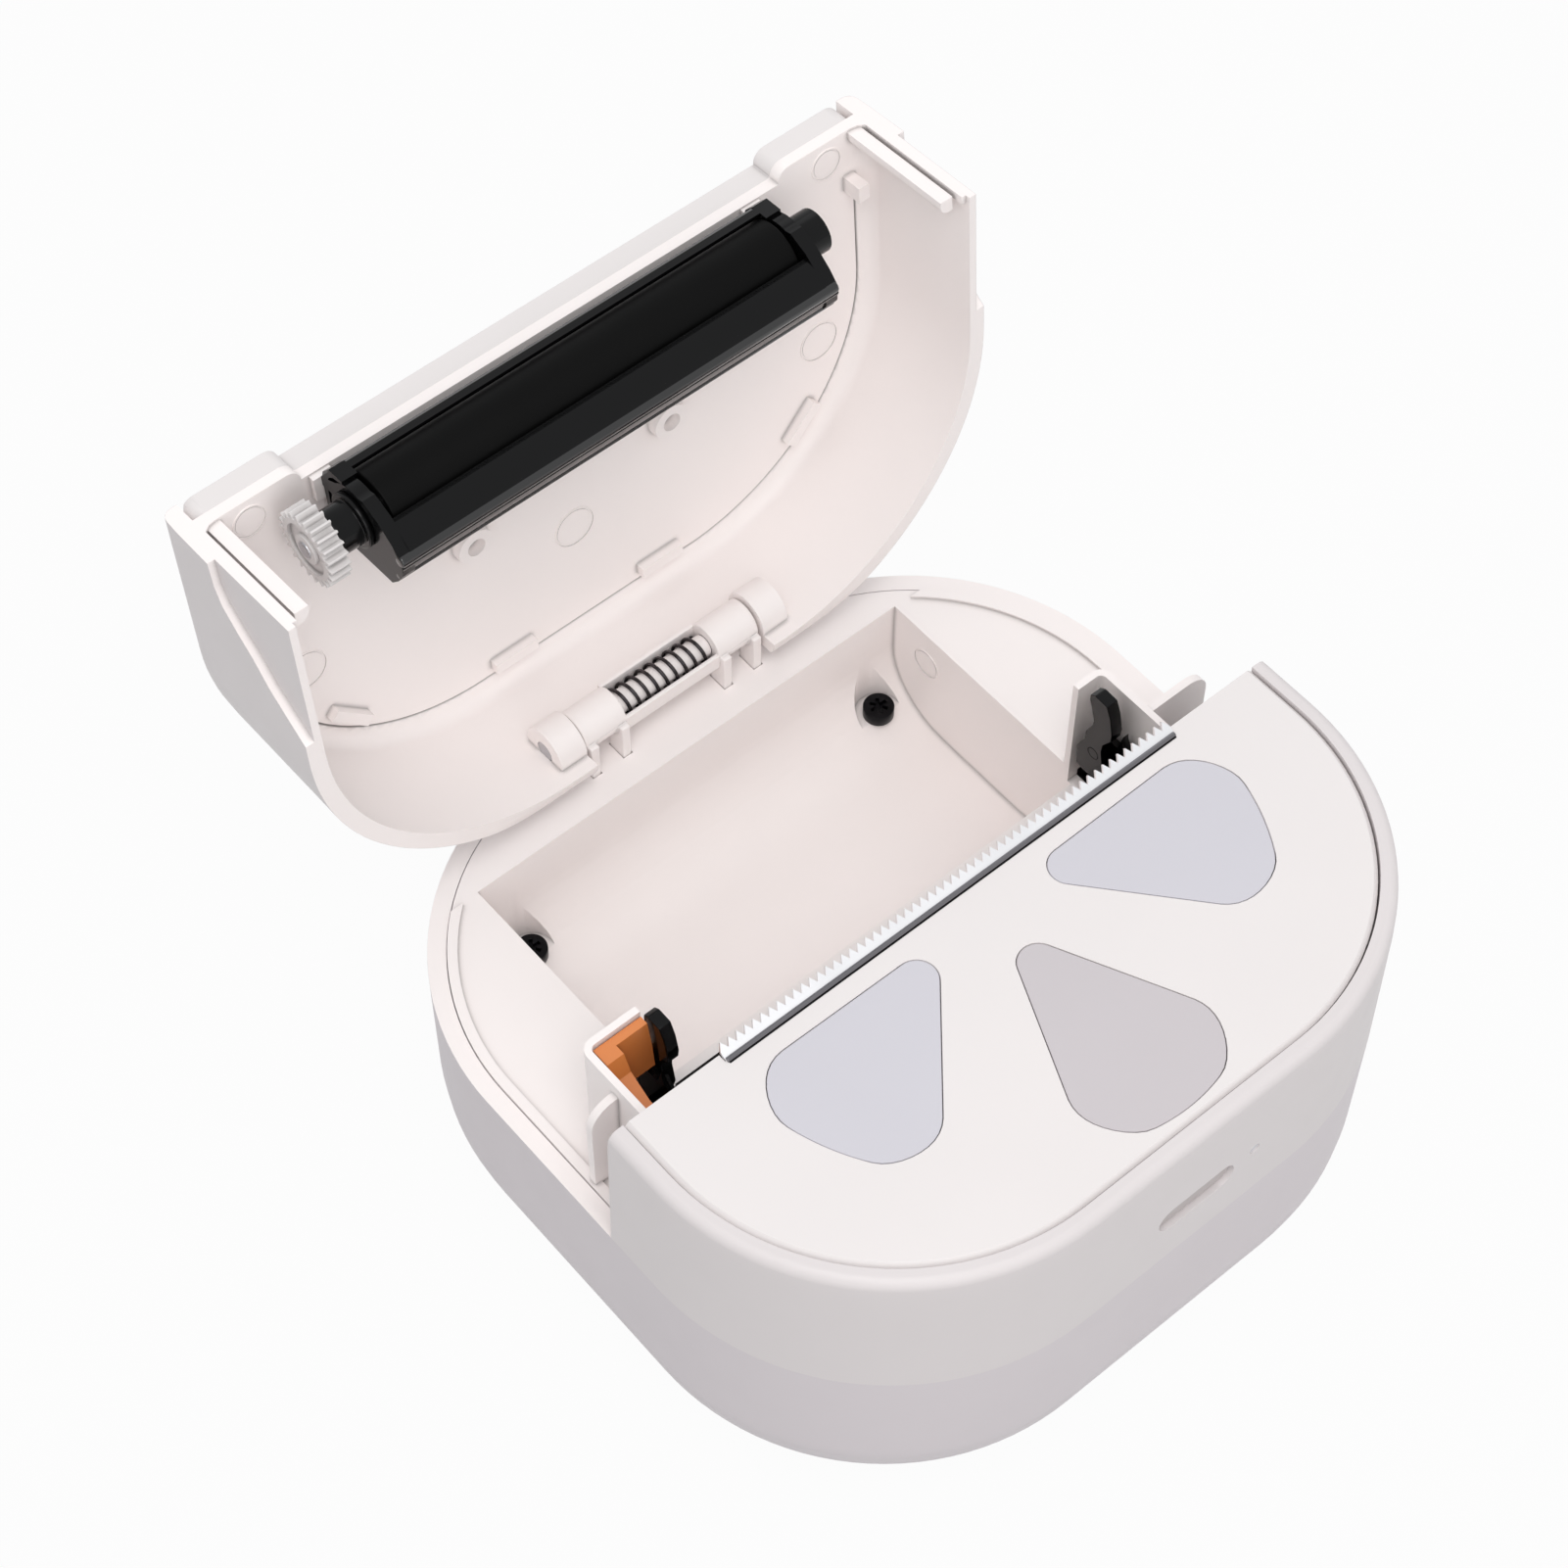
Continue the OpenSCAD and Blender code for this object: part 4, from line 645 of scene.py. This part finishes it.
def make_ejector_marks():
    """Five marks on the lid's roof and one on the right end wall of the paper bay."""
    face_down = Matrix.Rotation(LID_OPEN + math.pi, 4, "X")
    for number, (x, y, width) in enumerate(ROOF_MARKS):
        place = on_lid(x, y, LID_ROOF)
        ejector_mark("roof_mark_%d" % number, body_of["lid_shell"], place, face_down, width)
    face_left = Matrix.Rotation(math.radians(-90), 4, "Y")
    ejector_mark("bay_mark", body_of["tray"], (29.3, 28.6, 21.1), face_left, 4)


def make_rods():
    """Rolled edges of the paper guide, the torsion spring's core, the blade's fold in a darker steel that
    paints its dark reflection, and a thin dark rod that paints the shadow in the gap in front of the fold.
    """
    y, z = PLATEN
    guide = {"slot": "black_plastic", "turned": True, "like": "black_gloss"}
    rod_piece("guide_bead", "lid", BRACKET, (y + 0.75, z - 6.85), 0.72, **guide)
    rod_piece("guide_rim", "lid", BRACKET, (y + 3.3, z - 6.2), 0.42, **guide)
    barrels = (HINGE.x - BARREL_GAP, HINGE.x + BARREL_GAP)
    rod_piece("spring_core", body_of["hinge_bracket"], barrels, (HINGE.y, HINGE.z), 1.32, "tray_white")
    blade = body_of["tear_blade"]
    # painted reflection: the fold gets a darker copy of the blade's steel, for the dark it reflects
    rod_piece("blade_fold", blade, (-29.7, 29.7), (-7.55, 46.42), 0.3, "blade_steel", like="fold_steel_dark_reflection")
    # painted shadow: a thin dark steel rod stands for the shadow in the gap in front of the blade's fold
    rod_piece("blade_gap_shadow", blade, (-29.6, 29.6), (-7.9, 46.38), 0.11, "black_steel")


def make_spring_trough():
    """Trough of the spring between the hinge's barrels: low lip in front, higher wall behind."""
    x, y, z = HINGE
    half = BARREL_GAP - 0.05
    outer, inner = 2.5, 1.95                    # half depths of the trough and of its hollow
    floor, lip, wall = 2.45, 0.4, 1.3           # how far these lie below or above the hinge's axis
    past = 9                                    # how far the cutting boxes reach past the trough
    trough = box_piece((x - half, y - outer, z - floor), (x + half, y + outer, z + wall))
    bevel_edges(trough, lambda middle, way: abs(way.x) > 0.9 and middle.z < z - 1, 1.1, 4)
    cut_with(trough, box_piece((x - past, y - inner, z - inner), (x + past, y + inner, z + past)))
    cut_with(trough, box_piece((x - past, y - past, z + lip), (x + past, y, z + past)))
    bevel_edges(trough, lambda middle, way: abs(way.x) > 0.9 and middle.z > z + 0.3, 0.15, 2)
    new_piece("spring_trough", body_of["hinge_bracket"], "tray_white")


def make_guide_front():
    """Swelling front of the paper guide, between the bracket's end plates."""
    y, z = PLATEN
    swell, end_plate = 4.6, 1.3
    ends = (BRACKET[0] + end_plate, BRACKET[1] - end_plate)
    back_place, back_way = Vector((0, y - 0.86, z - 5.76)), (0, -0.764, -0.646)
    guide = bar_piece(128, swell, ends, (y + 2.36, z - 3.04))
    bpy.ops.object.mode_set(mode="EDIT")
    bpy.ops.mesh.select_all(action="SELECT")
    bpy.ops.mesh.bisect(plane_co=back_place * MM, plane_no=back_way, use_fill=True, clear_inner=True)
    bpy.ops.object.mode_set(mode="OBJECT")
    on_the_lid(guide)
    new_piece("guide_front", body_of["platen_bracket"], "black_plastic")


def cut_roof_slot():
    """Fine slot along the edge of the lid's roof, round its two rear corners."""
    wide, back, bend = 40.4, 39.65, 26.3        # the slot's outer line, and the radius of its corners
    thin = 0.28
    slot = box_piece((-wide, -9, LID_ROOF - 1), (wide, back, LID_ROOF + 0.4))
    bevel_edges(slot, rear_corner, bend, 40)
    inside = box_piece((thin - wide, -10, LID_ROOF - 2), (wide - thin, back - thin, LID_ROOF + 2))
    bevel_edges(inside, rear_corner, bend - thin, 40)
    cut_with(slot, inside)
    cut_with(slot, box_piece((-50, -30, 30), (50, 2, 50)))
    on_the_lid(slot)
    bpy.ops.object.transform_apply(location=True, rotation=True, scale=True)
    shell = bpy.data.objects["lid_shell_moulded"]
    cut_with(shell, slot)
    even_shading(shell)


def swell_petals():
    """Turn each petal a little and swell its edge at the plate's rim, with its pocket in the plate."""
    plate = bpy.data.objects["top_plate_moulded"]
    for name, (old, new, bulge) in PETALS.items():
        swell_petal(bpy.data.objects[name + "_moulded"], old, new, bulge)
        swell_petal(plate, old, new, bulge)


def make_gear_web():
    """Round pocket in the roller gear's outer face, and in its middle a hub ring and the axle's end."""
    axle = on_lid(GEAR_FACE, *PLATEN)
    face, middle = axle.x, (axle.y, axle.z)
    pocket, hub_radius, axle_radius = 2.95, 1.7, 0.98
    gear = bpy.data.objects["platen_gear_moulded"]
    cut_with(gear, bar_piece(48, pocket, (face - 0.45, face + 0.45), middle))
    even_shading(gear)
    hub = bar_piece(40, hub_radius, (face - 0.03, face + 0.47), middle)
    bevel_edges(hub, round_end, 0.15, 2)
    new_piece("gear_hub", body_of["platen_gear"], "gear_white")
    shaft = body_of["platen_shaft"]
    rod_piece("gear_axle_end", shaft, (face - 0.15, face + 0.6), middle, axle_radius, "pin_steel")


# ---------- the scene ----------

bpy.context.scene.view_settings.view_transform = "Standard"
place_camera()
light_the_scene()
lay_floor()
dress_nodes()
make_torsion_spring()
make_ejector_marks()
make_rods()
make_spring_trough()
make_guide_front()
cut_roof_slot()
# painted light: the base's upward rim faces get the lighter tray white, as if lit from above, while its sides
# keep the darker base white
skin_piece("base_rim_painted_light", "base_shell", lit_rim_faces, "tray_white")
skin_piece("lid_skin", "lid_shell", outside_lid, "cover_white")
# painted shade: the power button gets a darker grey in place of the shade of the recess it sits in
dress(bpy.data.objects["power_button_moulded"], "button_grey")
swell_petals()
make_gear_web()
